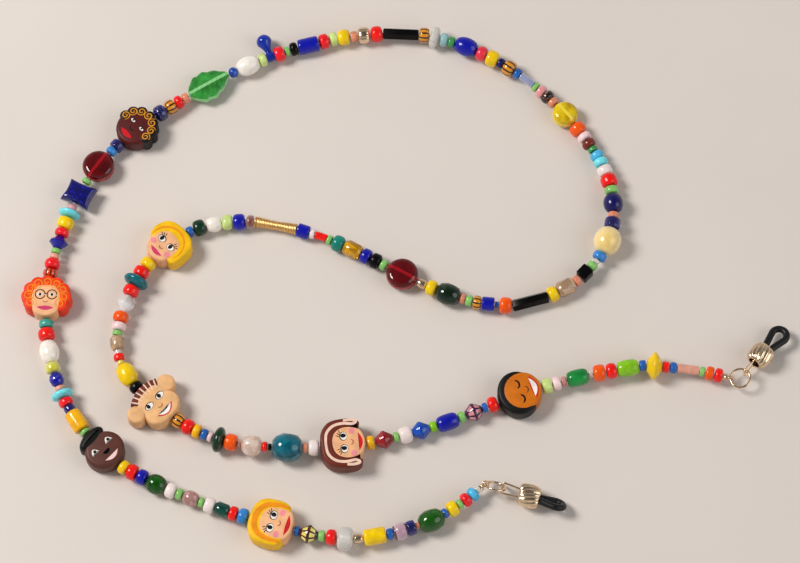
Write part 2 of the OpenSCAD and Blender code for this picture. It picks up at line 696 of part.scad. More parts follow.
stringing_wire();
crimp_tubes();
wire_guards();
jump_ring_a();
temple_link_a();
rubber_loop_a();
slide_bead_a();
jump_ring_b();
temple_link_b();
rubber_loop_b();
slide_bead_b();
face_blond_bob();
face_beret();
face_red_curls();
face_gold_curls();
face_blond_fringe();
face_big_ears();
face_striped_hair();
face_black_crescent();
ruby_coin_upper();
ruby_coin_middle();
yellow_coin();
leaf_bead();
pillow_bead();
teardrop_pendant();
flower_rondelle();
black_cube();
gold_coil_tube();
black_tubes();
yellow_tubes();
yellow_saucer();
pearls();
silver_spacers();
clear_crystals();
smoky_drums();
green_crystals();
teal_crystal();
glass_rondelles();
ruby_bicone();
blue_crystals();
mirror_bicones();
clear_drum();
rose_beads();
dark_green_beads();
cobalt_beads();
white_ovals();
green_barrels();
bugle_beads();
turquoise_discs();
red_beads();
yellow_beads();
orange_beads();
white_beads();
light_green_beads();
navy_beads();
sky_beads();
black_beads();
pink_beads();
striped_beads();
amber_beads();
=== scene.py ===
"""The looks of a beaded eyeglass retainer strap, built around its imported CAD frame."""
import json
import math
import random
from math import atan2, cos, pi, radians, sin

import bmesh
import bpy
from mathutils import Matrix, Vector


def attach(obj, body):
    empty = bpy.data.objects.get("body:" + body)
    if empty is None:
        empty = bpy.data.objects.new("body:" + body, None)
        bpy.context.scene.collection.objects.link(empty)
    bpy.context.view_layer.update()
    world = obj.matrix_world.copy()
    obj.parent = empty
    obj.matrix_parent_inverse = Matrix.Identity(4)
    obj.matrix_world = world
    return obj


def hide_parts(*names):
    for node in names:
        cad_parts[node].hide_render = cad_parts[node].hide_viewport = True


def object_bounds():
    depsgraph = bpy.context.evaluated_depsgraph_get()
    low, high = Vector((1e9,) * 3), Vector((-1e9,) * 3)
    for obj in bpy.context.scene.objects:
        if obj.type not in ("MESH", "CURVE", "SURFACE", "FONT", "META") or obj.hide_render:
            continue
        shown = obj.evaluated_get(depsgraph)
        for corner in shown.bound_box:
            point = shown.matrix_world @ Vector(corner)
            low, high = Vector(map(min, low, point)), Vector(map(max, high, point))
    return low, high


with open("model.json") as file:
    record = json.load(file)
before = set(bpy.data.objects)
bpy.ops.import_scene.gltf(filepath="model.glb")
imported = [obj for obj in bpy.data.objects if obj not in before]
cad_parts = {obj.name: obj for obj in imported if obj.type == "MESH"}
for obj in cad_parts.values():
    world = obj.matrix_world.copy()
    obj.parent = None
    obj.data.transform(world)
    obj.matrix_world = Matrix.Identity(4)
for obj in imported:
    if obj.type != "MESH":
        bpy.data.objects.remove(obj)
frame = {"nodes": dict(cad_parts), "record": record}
cad_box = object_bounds()
random.seed(41)

MM = 0.001
UP = Vector((0, 0, 1))
BODY_OF = {
    node: body
    for body, nodes in frame["record"]["behaviour"]["bodies"].items()
    for node in nodes
}

# ---- Camera: the photograph looks steeply down on the table ----
CAMERA_ELEVATION = radians(68)
CAMERA_DISTANCE = 0.85
CAMERA_TARGET = Vector((-0.0009, 0.00075, 0))
LENS_MM = 136.6


def place_in_scene(name, data):
    made = bpy.data.objects.new(name, data)
    bpy.context.scene.collection.objects.link(made)
    return made


def make_camera():
    camera = place_in_scene("camera", bpy.data.cameras.new("camera"))
    away = Vector((0, -cos(CAMERA_ELEVATION), sin(CAMERA_ELEVATION)))
    camera.location = CAMERA_TARGET + CAMERA_DISTANCE * away
    camera.rotation_euler = (pi / 2 - CAMERA_ELEVATION, 0, 0)
    camera.data.lens = LENS_MM
    camera.data.sensor_width = 36
    camera.data.clip_start = 0.01
    bpy.context.scene.camera = camera


# ---- Route of the stringing wire, in millimetres, as in the CAD source ----
TO_CENTRE = Vector((1.1, -0.75, 0.1))
ROUTE = [
    (20.5, -59.85, 3.4), (7, -69.5, 3.2), (-15, -75, 3.4), (-37, -70.5, 3), (-58, -63.5, 2.9),
    (-77, -54.5, 2.9), (-90, -42, 3.2), (-98, -25, 3.1), (-100.5, -6, 3), (-97.5, 13, 3.1),
    (-91, 30, 3), (-79.5, 45, 2.9), (-63, 57, 2.8), (-45, 67.5, 2.9), (-20, 76, 2.8),
    (6, 76.5, 3.6), (26, 68.5, 3), (40, 57.5, 2.7), (50.5, 44.5, 2.7), (57.5, 30, 2.9),
    (57, 13.5, 4), (47, 0, 3), (29, -7, 2.7), (10.5, -3.5, 3.2), (-6, 5, 2.8),
    (-24, 14, 2.6), (-43, 18.5, 2.6), (-59, 16.5, 2.8), (-70.5, 8, 3.2), (-77, -3, 3.6),
    (-80.5, -17, 3), (-76.5, -29, 3), (-65, -39.5, 3), (-52, -46.5, 3.6), (-35.5, -49, 4.1),
    (-12, -47.7, 3), (12, -41, 2.9), (34, -32, 3), (65.5, -25, 4), (88, -28.2, 3),
]
WIRE_D = 0.0005


def catmull_rom(a, b, c, d, t):
    return b + 0.5 * t * (c - a + t * (2 * a - 5 * b + 4 * c - d + t * (3 * (b - c) + d - a)))


def smooth_open(stops, per_stretch):
    """A smooth line through the stops, with that many points to each stretch."""
    stops = [Vector(p) for p in stops]
    last = len(stops) - 1
    line = []
    for i in range(last):
        around = [stops[max(i - 1, 0)], stops[i], stops[i + 1], stops[min(i + 2, last)]]
        line += [catmull_rom(*around, k / per_stretch) for k in range(per_stretch)]
    return line + [stops[last]]


def smooth_closed(stops, per_stretch):
    """A smooth loop through the stops."""
    stops = [Vector(p) for p in stops]
    count = len(stops)
    loop = []
    for i in range(count):
        around = [stops[(i + k) % count] for k in (-1, 0, 1, 2)]
        loop += [catmull_rom(*around, k / per_stretch) for k in range(per_stretch)]
    return loop


WIRE = [p + TO_CENTRE for p in smooth_open(ROUTE, 2)]
RUN = [0.0]
for before, after in zip(WIRE, WIRE[1:]):
    RUN.append(RUN[-1] + (after - before).length)


def wire_at(s):
    """The point s millimetres along the wire from end A."""
    i = max(k for k in range(len(WIRE) - 1) if RUN[k] <= max(s, 0))
    share = (s - RUN[i]) / (RUN[i + 1] - RUN[i])
    return WIRE[i].lerp(WIRE[i + 1], share)


def nearest_run(point):
    """How far along the wire its nearest point to this one is."""
    best = (math.inf, 0.0)
    for i in range(len(WIRE) - 1):
        stretch = WIRE[i + 1] - WIRE[i]
        share = min(max((point - WIRE[i]).dot(stretch) / stretch.length_squared, 0), 1)
        gap = (WIRE[i] + share * stretch - point).length
        best = min(best, (gap, RUN[i] + share * stretch.length))
    return best[1]


# ---- Where the beads are: each solid of a CAD node, found on the wire ----
def solids_of(node):
    """The points of each separate solid of a CAD node, in millimetres."""
    bm = bmesh.new()
    bm.from_mesh(frame["nodes"][node].data)
    bmesh.ops.remove_doubles(bm, verts=bm.verts, dist=1e-6)
    left = dict.fromkeys(bm.verts)
    solids = []
    while left:
        stack = [left.popitem()[0]]
        found = []
        while stack:
            vert = stack.pop()
            found.append(vert.co / MM)
            for edge in vert.link_edges:
                near = edge.other_vert(vert)
                if near in left:
                    del left[near]
                    stack.append(near)
        solids.append(found)
    bm.free()
    return solids


class Spot:
    """A bead's place on the wire, with X along the wire towards end B, and its size."""

    def __init__(self, points):
        middle = sum(points, Vector()) / len(points)
        s = nearest_run(middle)
        along = (wire_at(s + 0.5) - wire_at(s - 0.5)).normalized()
        reach = [along.dot(p - wire_at(s)) for p in points]
        self.run = s + (min(reach) + max(reach)) / 2
        self.length = max(reach) - min(reach)
        start = wire_at(self.run - self.length / 2)
        end = wire_at(self.run + self.length / 2)
        x = (end - start).normalized()
        y = UP.cross(x).normalized()
        z = x.cross(y)
        origin = (start + end) / 4 + wire_at(self.run) / 2
        turn = Matrix((x, y, z)).transposed().to_4x4()
        self.place = Matrix.Scale(MM, 4) @ Matrix.Translation(origin) @ turn
        across = [(p - origin).dot(y) for p in points]
        upward = [(p - origin).dot(z) for p in points]
        self.width = max(across) - min(across)
        self.height = max(upward) - min(upward)


def spots(node):
    return sorted((Spot(points) for points in solids_of(node)), key=lambda spot: spot.run)


# ---- Materials ----
def linear(code):
    """Linear colour from a hex sRGB code."""
    channels = [int(code[i:i + 2], 16) / 255 for i in (1, 3, 5)]
    return [c / 12.92 if c <= 0.04045 else ((c + 0.055) / 1.055) ** 2.4 for c in channels] + [1]


def tint(colour, share):
    """Towards white for a positive share, and towards black for a negative one."""
    goal = 1 if share > 0 else 0
    return [c + (goal - c) * abs(share) for c in colour[:3]] + [1]


def scaled(colour, factor):
    """The same hue, brighter or darker."""
    return [min(c * factor, 1) for c in colour[:3]] + [1]


class Shader:
    """A node material around one Principled shader."""

    def __init__(self, name, **values):
        self.material = bpy.data.materials.new(name)
        self.material.use_nodes = True
        self.tree = self.material.node_tree
        self.main = self.tree.nodes["Principled BSDF"]
        for socket, value in values.items():
            self.main.inputs[socket.replace("_", " ")].default_value = value

    def add(self, kind, inputs=None, **settings):
        made = self.tree.nodes.new(kind)
        for name, value in settings.items():
            setattr(made, name, value)
        for socket, value in (inputs or {}).items():
            if isinstance(value, bpy.types.NodeSocket):
                self.tree.links.new(value, made.inputs[socket])
            else:
                made.inputs[socket].default_value = value
        return made

    def math(self, operation, *values):
        return self.add("ShaderNodeMath", dict(enumerate(values)), operation=operation).outputs[0]

    def noise(self, scale, detail=2.0):
        """Grain in the object's own space; scale is in grains per millimetre."""
        place = self.add("ShaderNodeTexCoord").outputs["Object"]
        inputs = {"Vector": place, "Scale": scale / MM, "Detail": detail}
        return self.add("ShaderNodeTexNoise", inputs).outputs["Fac"]

    def ramp(self, factor, *stops, constant=False):
        made = self.add("ShaderNodeValToRGB", {"Fac": factor})
        band = made.color_ramp
        band.interpolation = "CONSTANT" if constant else "LINEAR"
        while len(band.elements) < len(stops):
            band.elements.new(0.5)
        for element, (place, colour) in zip(band.elements, stops):
            element.position = place
            element.color = colour
        return made.outputs["Color"]

    def mix(self, factor, a, b):
        colour_sockets = {0: factor, 6: a, 7: b}
        return self.add("ShaderNodeMix", colour_sockets, data_type="RGBA").outputs[2]

    def attribute(self, name):
        return self.add("ShaderNodeAttribute", attribute_name=name)

    def link(self, output, socket):
        self.tree.links.new(output, self.main.inputs[socket])

    def bump(self, height, strength, depth_mm):
        inputs = {"Height": height, "Strength": strength, "Distance": depth_mm * MM}
        self.link(self.add("ShaderNodeBump", inputs).outputs["Normal"], "Normal")

    def uneven(self, base, spread, scale):
        """The base colour, drifting lighter and darker over the surface."""
        drift = self.noise(scale)
        return self.ramp(drift, (0.3, scaled(base, 1 - spread)), (0.7, scaled(base, 1 + spread)))


def plain(name, code, spread, drift, grain, strength, depth_mm, **values):
    """One colour that drifts lighter and darker, over a surface with a fine grain."""
    shader = Shader(name, **values)
    shader.link(shader.uneven(linear(code), spread, drift), "Base Color")
    shader.bump(shader.noise(*grain), strength, depth_mm)
    return shader.material


def opaque_glass(name, code, spread=0.15):
    """Moulded glass with a fire-polished skin: slightly wavy, with faint swirls of colour."""
    return plain(name, code, spread, 0.5, (0.9,), 0.2, 0.04, Roughness=0.2, Specular_IOR_Level=0.4,
                 Coat_Weight=0.15, Coat_Roughness=0.06)


def jet(name, code):
    """Black glass, almost without reflections on its flats."""
    return plain(name, code, 0.03, 0.5, (0.4,), 0.1, 0.02, Roughness=0.24, Specular_IOR_Level=0.2)


def clear_glass(name, code, spread=0.12, transmission=0.6):
    """Transparent coloured glass, with faint streaks."""
    return plain(name, code, spread, 0.6, (0.8,), 0.2, 0.04, Roughness=0.04, IOR=1.5,
                 Transmission_Weight=transmission)


def pressed_glass(name, pale, dark, rim_height, transmission=0.45):
    """Flat clear glass, painted paler around its rim and along its bore as painted highlight, and
    darker over its hollows as painted shade.
    """
    shader = Shader(name, Roughness=0.06, IOR=1.5, Transmission_Weight=transmission)
    local = shader.add("ShaderNodeSeparateXYZ", {0: shader.attribute("local").outputs["Vector"]})
    from_bore = shader.math("ABSOLUTE", local.outputs["Y"])
    from_table = shader.math("ABSOLUTE", local.outputs["Z"])
    # Painted light: the pale colour over the rim and the bore is painted highlight, the dark colour
    # over the hollows is painted shade.
    bore = shader.math("LESS_THAN", from_bore, 0.45)
    rim = shader.math("LESS_THAN", from_table, rim_height)
    hollow = shader.uneven(linear(dark), 0.4, 0.35)
    border = shader.math("MAXIMUM", bore, rim)
    shader.link(shader.mix(border, hollow, linear(pale)), "Base Color")
    shader.bump(shader.noise(0.6), 0.25, 0.06)
    return shader.material


def cut_glass(name, code, dark=-0.45, light=0.16, transmission=0.3):
    """Faceted glass: each facet is painted its own share of light, from painted shade on the darkest
    facets to a painted highlight on the brightest.
    """
    base = linear(code)
    shader = Shader(name, Roughness=0.05, IOR=1.55, Transmission_Weight=transmission)
    stops = ((0.0, tint(base, dark)), (0.6, base), (0.85, scaled(base, 1.5)), (1.0, tint(base, light)))
    # Painted light: each facet's random share runs from painted shade through the glass colour to a
    # painted highlight.
    painted_facet_light = shader.ramp(shader.attribute("facet_light").outputs["Fac"], *stops)
    streaks = shader.ramp(shader.noise(0.7), (0.35, tint(base, dark)), (0.65, base))
    shader.link(shader.mix(0.25, painted_facet_light, streaks), "Base Color")
    return shader.material


def pearl(name, code):
    """A pearl coat over glass: soft gloss, with a painted sheen that turns the colour paler towards
    the edges.
    """
    base = linear(code)
    shader = Shader(name, Roughness=0.3, Coat_Weight=0.6, Coat_Roughness=0.12)
    # Painted sheen: where the surface turns away from the camera, the colour is mixed towards white.
    painted_sheen_share = shader.add("ShaderNodeLayerWeight", {"Blend": 0.35}).outputs["Facing"]
    body = shader.uneven(base, 0.12, 0.6)
    shader.link(shader.mix(painted_sheen_share, body, tint(base, 0.5)), "Base Color")
    shader.bump(shader.noise(1.4), 0.2, 0.03)
    return shader.material


def clay(name, code):
    """Baked polymer clay: satin, with pressed grain and faint fingerprints of colour."""
    return plain(name, code, 0.12, 0.45, (3.0, 4.0), 0.3, 0.03, Roughness=0.45,
                 Specular_IOR_Level=0.25)


def metal(name, code, roughness=0.2):
    """Plated metal with fine wear in its gloss."""
    base = linear(code)
    shader = Shader(name, Metallic=1.0)
    wear = shader.noise(2.5, 4.0)
    rough = [roughness * 0.6] * 3 + [1]
    worn = [roughness * 1.7] * 3 + [1]
    shader.link(shader.ramp(wear, (0.3, rough), (0.7, worn)), "Roughness")
    shader.link(shader.uneven(base, 0.14, 0.8), "Base Color")
    shader.bump(shader.noise(5.0, 3.0), 0.12, 0.01)
    return shader.material


def rubber(name, code):
    """Extruded rubber cord: satin black with a dusty bloom."""
    return plain(name, code, 0.03, 0.7, (4.0, 4.0), 0.3, 0.02, Roughness=0.38,
                 Specular_IOR_Level=0.3)


def around_bore(shader, repeats):
    """A saw from 0 to 1 that repeats that often around the bead's bore."""
    local = shader.add("ShaderNodeSeparateXYZ", {0: shader.attribute("local").outputs["Vector"]})
    angle = shader.math("ARCTAN2", local.outputs["Y"], local.outputs["Z"])
    turns = shader.math("MULTIPLY", angle, repeats / (2 * pi))
    return local, shader.math("FRACT", turns)


def striped_glass(name, pale, dark, stripes=10):
    """Cane-drawn seed glass with stripes that run from bore to bore."""
    shader = Shader(name, Roughness=0.12, Coat_Weight=0.5, Coat_Roughness=0.05)
    _, saw = around_bore(shader, stripes)
    wobble = shader.math("ADD", saw, shader.math("MULTIPLY", shader.noise(0.5), 0.25))
    edges = ((0.0, linear(pale)), (0.6, linear(pale)), (0.68, linear(dark)), (0.97, linear(dark)))
    shader.link(shader.ramp(shader.math("FRACT", wobble), *edges), "Base Color")
    return shader.material


def panelled_glass(name, panel, edge, sides=8):
    """A cut bicone with a foil-bright panel on each facet and dark glass along its edges."""
    shader = Shader(name, Roughness=0.12, Coat_Weight=0.4, Coat_Roughness=0.03)
    local, saw = around_bore(shader, sides)
    from_middle = shader.math("ABSOLUTE", shader.math("SUBTRACT", saw, 0.5))
    beside = shader.math("GREATER_THAN", from_middle, 0.33)
    from_waist = shader.math("ABSOLUTE", local.outputs["X"])
    waist = shader.math("LESS_THAN", from_waist, 0.4)
    end = shader.math("GREATER_THAN", from_waist, 1.75)
    border = shader.math("MAXIMUM", shader.math("MAXIMUM", beside, waist), end)
    panels = shader.uneven(linear(panel), 0.35, 0.6)
    shader.link(shader.mix(border, panels, linear(edge)), "Base Color")
    return shader.material


def speckled_glass(name, base, *specks):
    """Dark glass with rolled-in crumbs of colour."""
    shader = Shader(name, Roughness=0.15, Coat_Weight=0.4, Coat_Roughness=0.05)
    stops = [(0.0, linear(base))]
    stops += [(0.58 + 0.06 * k, linear(code)) for k, code in enumerate(specks)]
    shader.link(shader.ramp(shader.noise(1.6), *stops, constant=True), "Base Color")
    return shader.material


OPAQUE_GLASS = {
    "red": "#f0140c", "rose_red": "#ee1824", "yellow": "#fbcb02", "amber_yellow": "#f4b006",
    "orange": "#fc5602", "cream": "#e6cf62", "sky": "#4db6e2", "azure": "#3282cc",
    "blue": "#2060b4", "turquoise": "#72e0ec", "pale_teal": "#8fb8bb", "teal": "#0d7f70",
    "sea_green": "#3f9f90", "cobalt": "#0b12a0", "navy": "#120d58", "green": "#86c268",
    "leaf_green": "#3d9150", "lime": "#86c41c", "pale_lime": "#c9dd86", "bottle": "#06301c",
    "salmon": "#dd8a6b", "peach": "#e2a08a", "pink": "#d99aa4", "pale_pink": "#f5cfcf",
    "dusty_pink": "#c9887f", "magenta_red": "#ea3448", "root_beer": "#74261a",
    "lilac_rim": "#5a2f2c", "ruby_bore": "#c22430",
}
PEARLS = {
    "lime_pearl": "#cbc31c", "pink_pearl": "#e68c8c", "copper": "#7c3a2a", "lilac": "#b28a9c",
    "bugle_blue": "#8a90b4", "yellow_pearl": "#f4d27c", "white_pearl": "#f8ece0",
}
CLAYS = {
    "hair_yellow": "#f4bd12", "hair_orange": "#ef8f0c", "hair_red": "#ee3a16",
    "hair_black": "#0a0908", "hair_brown": "#6a2a1c", "hair_cream": "#f2cdb8",
    "skin_peach": "#efb384", "skin_tan": "#e8b37c", "skin_maroon": "#541716",
    "skin_orange_brown": "#cc6c0a", "skin_brown": "#5a322a", "clay_white": "#f5ece4",
    "clay_pink": "#ee8f96", "clay_rose": "#f6cfc9", "clay_red": "#cf1620",
    "clay_magenta": "#d23a6c", "clay_nose": "#b4683c", "clay_dark": "#0e0a08",
    "clay_gold": "#d08a22",
}
FINISHES = {
    **{name: (opaque_glass, code) for name, code in OPAQUE_GLASS.items()},
    **{name: (pearl, code) for name, code in PEARLS.items()},
    **{name: (clay, code) for name, code in CLAYS.items()},
    "steel": (metal, "#c9c9cb", 0.25),
    "silver": (metal, "#e6cbab", 0.14),
    "gold": (metal, "#edc27c", 0.3),
    "rubber": (rubber, "#131315"),
    "white": (opaque_glass, "#efdfda", 0.04),
    "black": (jet, "#040404"),
    "streaked_navy": (speckled_glass, "#17164c", "#3a3a86", "#6a66a8"),
    "striped": (striped_glass, "#dc8f1c", "#2c1608"),
    "red_striped": (striped_glass, "#e4480e", "#5c1206"),
    "spotted_black": (speckled_glass, "#120c0c", "#7a2a26", "#b59a4a", "#3c6aa0"),
    "clear": (clear_glass, "#fffaf4", 0.03, 0.5),
    "clear_pink": (clear_glass, "#f2bfae", 0.05, 0.7),
    "clear_teal": (clear_glass, "#067884", 0.35, 0.35),
    "clear_green": (clear_glass, "#135c0a", 0.6, 0.4),
    # Pressed glass: a paler colour for the painted highlight on rim and bore, a darker one for the
    # painted shade in the hollows.
    "clear_ruby": (pressed_glass, "#c01424", "#720610", 1.0),
    "clear_yellow": (pressed_glass, "#ffe44a", "#f2c010", 1.0, 0.15),
    "clear_navy": (clear_glass, "#4a4aa8", 0.12, 0.8),
    # Cut glass: after the colour come the painted facet shade, the painted facet highlight and the
    # transmission.
    "cut_clear": (cut_glass, "#fff8f2", -0.3, 0.8, 0.3),
    "cut_pink": (cut_glass, "#ffdccb", -0.15, 0.6, 0.4),
    "cut_rose": (cut_glass, "#d8a49c", -0.3, 0.3, 0.4),
    "cut_champagne": (cut_glass, "#d2ac86", -0.4, 0.4, 0.3),
    "cut_amber": (cut_glass, "#d79a0a"),
    "cut_green": (cut_glass, "#1b6408", -0.3, 0.04),
    "cut_dark_green": (cut_glass, "#042c12", -0.5, 0.05),
    "grass": (opaque_glass, "#15883a", 0.3),
    "cut_teal": (cut_glass, "#027286", -0.4, 0.08),
    "cut_dark_teal": (cut_glass, "#035244", -0.4, 0.08),
    "cut_navy": (cut_glass, "#1016b0"),
    "cut_blue": (cut_glass, "#0c50c0"),
    "cut_ruby": (cut_glass, "#a00a18"),
    # The leaf's pale green is painted highlight on rim and rib, its dark green painted shade in the
    # hollows.
    "leaf_glass": (pressed_glass, "#9fe89a", "#3a9c40", 0.9, 0.25),
    "pillow_navy": (speckled_glass, "#08085a", "#0c0c8a", "#1414b4", "#06064a"),
    "pendant_blue": (clear_glass, "#1238b8", 0.3, 0.4),
    "sun_panels": (panelled_glass, "#f2dc6c", "#4c1020"),
    "pink_panels": (panelled_glass, "#d98a92", "#38103c"),
}
made_materials = {}


def finish(name):
    if name not in made_materials:
        family, *values = FINISHES[name]
        made_materials[name] = family(name, *values)
    return made_materials[name]


# ---- Solids: lists of points and faces, in millimetres, in a bead's own frame ----
BORE_R = 0.7


def grid(rings, sides, closed=False):
    """The faces between each ring of points and the next."""
    faces = []
    for ring in range(rings if closed else rings - 1):
        a, b = ring * sides, (ring + 1) % rings * sides
        for k in range(sides):
            turned = (k + 1) % sides
            faces.append((a + k, a + turned, b + turned, b + k))
    return faces


def lathe(profile, sides=32, flute=None):
    """A closed profile of (along, radius) turned around X, its radius scaled by flute(angle)."""
    points = []
    for x, radius in profile:
        for k in range(sides):
            angle = 2 * pi * k / sides
            reach = radius * (flute(angle) if flute and radius > BORE_R else 1)
            points.append((x, reach * cos(angle), reach * sin(angle)))
    return points, grid(len(profile), sides, closed=True)


def facet(profile, sides=8):
    """As lathe, but every other ring is turned half a side, so that it is cut in triangles."""
    rows = len(profile)
    points = []
    for row, (x, radius) in enumerate(profile):
        for k in range(sides):
            angle = 2 * pi * (k + row % 2 / 2) / sides
            points.append((x, radius * cos(angle), radius * sin(angle)))
    faces = []
    for row in range(rows):
        a, b = row * sides, (row + 1) % rows * sides
        if row % 2:
            a, b = b, a
        for k in range(sides):
            turned = (k + 1) % sides
            faces.append((a + k, a + turned, b + k))
            faces.append((b + k, a + turned, b + turned))
    return points, faces


def bend(value, power):
    return math.copysign(abs(value) ** (2 / power), value)


def round_profile(length, width, power, bore_r=BORE_R, steps=9):
    """Half section of a round bead: power is 2 for an ellipse, more for square shoulders."""
    rim = 0.2
    outer = []
    for k in range(steps + 1):
        a = pi * (k / steps - 0.5)
        reach = bore_r + rim + (width / 2 - bore_r - rim) * bend(cos(a), power)
        outer.append((length / 2 * bend(sin(a), power), reach))
    return [(-length / 2, bore_r), *outer, (length / 2, bore_r)]


def mirrored(*half):
    """A profile that is the same at both ends, from its points up to the middle."""
    return [*half, *((-x, radius) for x, radius in reversed(half) if x < 0)]


def swept(path, radii, ups, sides=10, closed=False):
    """A round tube along a path; radii and ups have one value for all points or one for each."""
    path = [Vector(p) for p in path]
    count = len(path)
    if isinstance(ups, Vector):
        ups = [ups] * count
    if not isinstance(radii, list):
        radii = [radii] * count
    points = []
    for i, (here, radius, up) in enumerate(zip(path, radii, ups)):
        after = path[(i + 1) % count] if closed else path[min(i + 1, count - 1)]
        before = path[i - 1] if closed else path[max(i - 1, 0)]
        along = (after - before).normalized()
        across = along.cross(up).normalized()
        upright = across.cross(along)
        for k in range(sides):
            a = 2 * pi * k / sides
            points.append(here + radius * (cos(a) * across + sin(a) * upright))
    faces = grid(count, sides, closed)
    if not closed:
        faces.append(tuple(reversed(range(sides))))
        faces.append(tuple(range((count - 1) * sides, count * sides)))
    return points, faces


def inset(outline, depth):
    """The outline of (x, y) points moved inwards; the points run anticlockwise."""
    count = len(outline)
    moved = []
    for i, here in enumerate(outline):
        before, after = outline[i - 1], outline[(i + 1) % count]
        edge = Vector((after[0] - before[0], after[1] - before[1]))
        inward = Vector((-edge.y, edge.x)).normalized()
        moved.append((here[0] + depth * inward.x, here[1] + depth * inward.y))
    return moved


def pad(outline, low, high, rounding, steps=4):
    """A slab between two heights with rounded rims; the outline is a loop of (x, y) points."""
    outline = [(p[0], p[1]) for p in outline]
    pairs = zip(outline, outline[1:] + outline[:1])
    if sum(a[0] * b[1] - b[0] * a[1] for a, b in pairs) < 0:
        outline.reverse()
    count = len(outline)
    rings = []
    for k in range(steps + 1):
        a = pi / 2 * k / steps
        rings.append((inset(outline, rounding * (1 - sin(a))), high - rounding * (1 - cos(a))))
    rings += [(ring, low + high - z) for ring, z in reversed(rings)]
    points = [(x, y, z) for ring, z in rings for x, y in ring]
    ends = [tuple(range(count)), tuple(range(len(points) - count, len(points)))]
    return points, ends + grid(len(rings), count)


def quilt(place_at, height_at, columns, rows):
    """A cushion-shaped solid: u and v run from -1 to 1, and its height is 0 at the border."""
    points = []
    index = {}
    for side in (1, -1):
        for i in range(columns + 1):
            for j in range(rows + 1):
                border = i in (0, columns) or j in (0, rows)
                if side < 0 and border:
                    index[side, i, j] = index[1, i, j]
                    continue
                u, v = 2 * i / columns - 1, 2 * j / rows - 1
                index[side, i, j] = len(points)
                points.append((*place_at(u, v), 0 if border else side * height_at(u, v)))
    faces = [
        tuple(index[side, i + di, j + dj] for di, dj in ((0, 0), (1, 0), (1, 1), (0, 1)))
        for side in (1, -1)
        for i in range(columns)
        for j in range(rows)
    ]
    return points, faces


# ---- Pieces ----
class Piece:
    """Solids gathered into one mesh, each with its own finish."""

    def __init__(self):
        self.points, self.local, self.faces = [], [], []
        self.finishes, self.smooth, self.tones = [], [], []

    def add(self, solid, finish_name, place, smooth=True):
        points, faces = solid
        base = len(self.points)
        self.points += [place @ Vector(p) for p in points]
        self.local += [Vector(p) for p in points]
        for face in faces:
            self.faces.append([base + i for i in face])
            self.finishes.append(finish_name)
            self.smooth.append(smooth)
            # A random share for each face, which the cut glass finish paints as facet shade and
            # highlight.
            self.tones.append(random.random())

    def make(self, name, *nodes, sharp=40):
        """The mesh object, which stands for these CAD nodes and rides on their body."""
        mesh = bpy.data.meshes.new(name)
        mesh.from_pydata(self.points, [], self.faces)
        used = sorted(set(self.finishes))
        for finish_name in used:
            mesh.materials.append(finish(finish_name))
        mesh.polygons.foreach_set("material_index", [used.index(f) for f in self.finishes])
        mesh.polygons.foreach_set("use_smooth", self.smooth)
        mesh.attributes.new("facet_light", "FLOAT", "FACE").data.foreach_set("value", self.tones)
        flat = [c for p in self.local for c in p]
        mesh.attributes.new("local", "FLOAT_VECTOR", "POINT").data.foreach_set("vector", flat)
        bm = bmesh.new()
        bm.from_mesh(mesh)
        bmesh.ops.recalc_face_normals(bm, faces=bm.faces)
        bm.to_mesh(mesh)
        bm.free()
        mesh.set_sharp_from_angle(angle=radians(sharp))
        settle(place_in_scene(name, mesh), *nodes)


def settle(made, *nodes):
    """Puts a piece on the body of the CAD nodes that it stands for."""
    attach(made, BODY_OF[nodes[0]])
    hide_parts(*nodes)


# ---- Bead makers: each adds one bead to a piece, at its spot ----
def unsettled(spot, degrees=4):
    """The bead's place with the small tilt that a loose bead takes on its wire."""
    tilt = radians(random.uniform(-degrees, degrees))
    return spot.place @ Matrix.Rotation(tilt, 4, "Z") @ Matrix.Rotation(tilt, 4, "Y")


def turned_bead(piece, spot, finish_name, power):
    profile = round_profile(spot.length, spot.width, power)
    piece.add(lathe(profile), finish_name, unsettled(spot, 2))


def seed(piece, spot, finish_name):
    """A seed bead: no two are quite the same length, and their shoulders differ."""
    length = spot.length * random.uniform(0.94, 1)
    width = spot.width * random.uniform(0.97, 1)
    profile = round_profile(length, width, random.uniform(2.5, 3.2))
    piece.add(lathe(profile, 24), finish_name, unsettled(spot))


def ball(piece, spot, finish_name):
    turned_bead(piece, spot, finish_name, 2)


def tube(piece, spot, finish_name):
    turned_bead(piece, spot, finish_name, 7)


def barrel(piece, spot, finish_name):
    turned_bead(piece, spot, finish_name, 2.9)


def lined(piece, spot, glass, core):
    """Clear glass around an opaque lining of its bore."""
    core_r = spot.width * 0.34
    piece.add(lathe(round_profile(spot.length, spot.width, 3, core_r + 0.02)), glass, spot.place)
    lining = round_profile(spot.length * 0.98, 2 * core_r, 8, BORE_R * 0.7)
    piece.add(lathe(lining), core, spot.place)


def rimmed(piece, spot, body, rim):
    """A round bead with a dark band around each end."""
    turned_bead(piece, spot, body, 2.6)
    band_r = spot.width * 0.36
    for end in (-1, 1):
        x = end * spot.length * 0.42
        ring = [(x, band_r * cos(pi * k / 12), band_r * sin(pi * k / 12)) for k in range(24)]
        piece.add(swept(ring, 0.28, Vector((1, 0, 0)), 8, closed=True), rim, spot.place)


def ribbed(piece, spot, finish_name, ribs=12):
    """A metal spacer with ribs across it."""
    profile = round_profile(spot.length, spot.width, 3)
    lobes = lathe(profile, ribs * 6, lambda angle: 0.94 + 0.06 * abs(cos(angle * ribs / 2)))
    piece.add(lobes, finish_name, spot.place)


def cut_profile(spot, end_r, *steps):
    """A cut bead's section; a step is a share of its half length and a share of its radius."""
    half, r = spot.length / 2, spot.width / 2
    return mirrored((-half, BORE_R), (-half, end_r), *((-half * x, r * y) for x, y in steps))


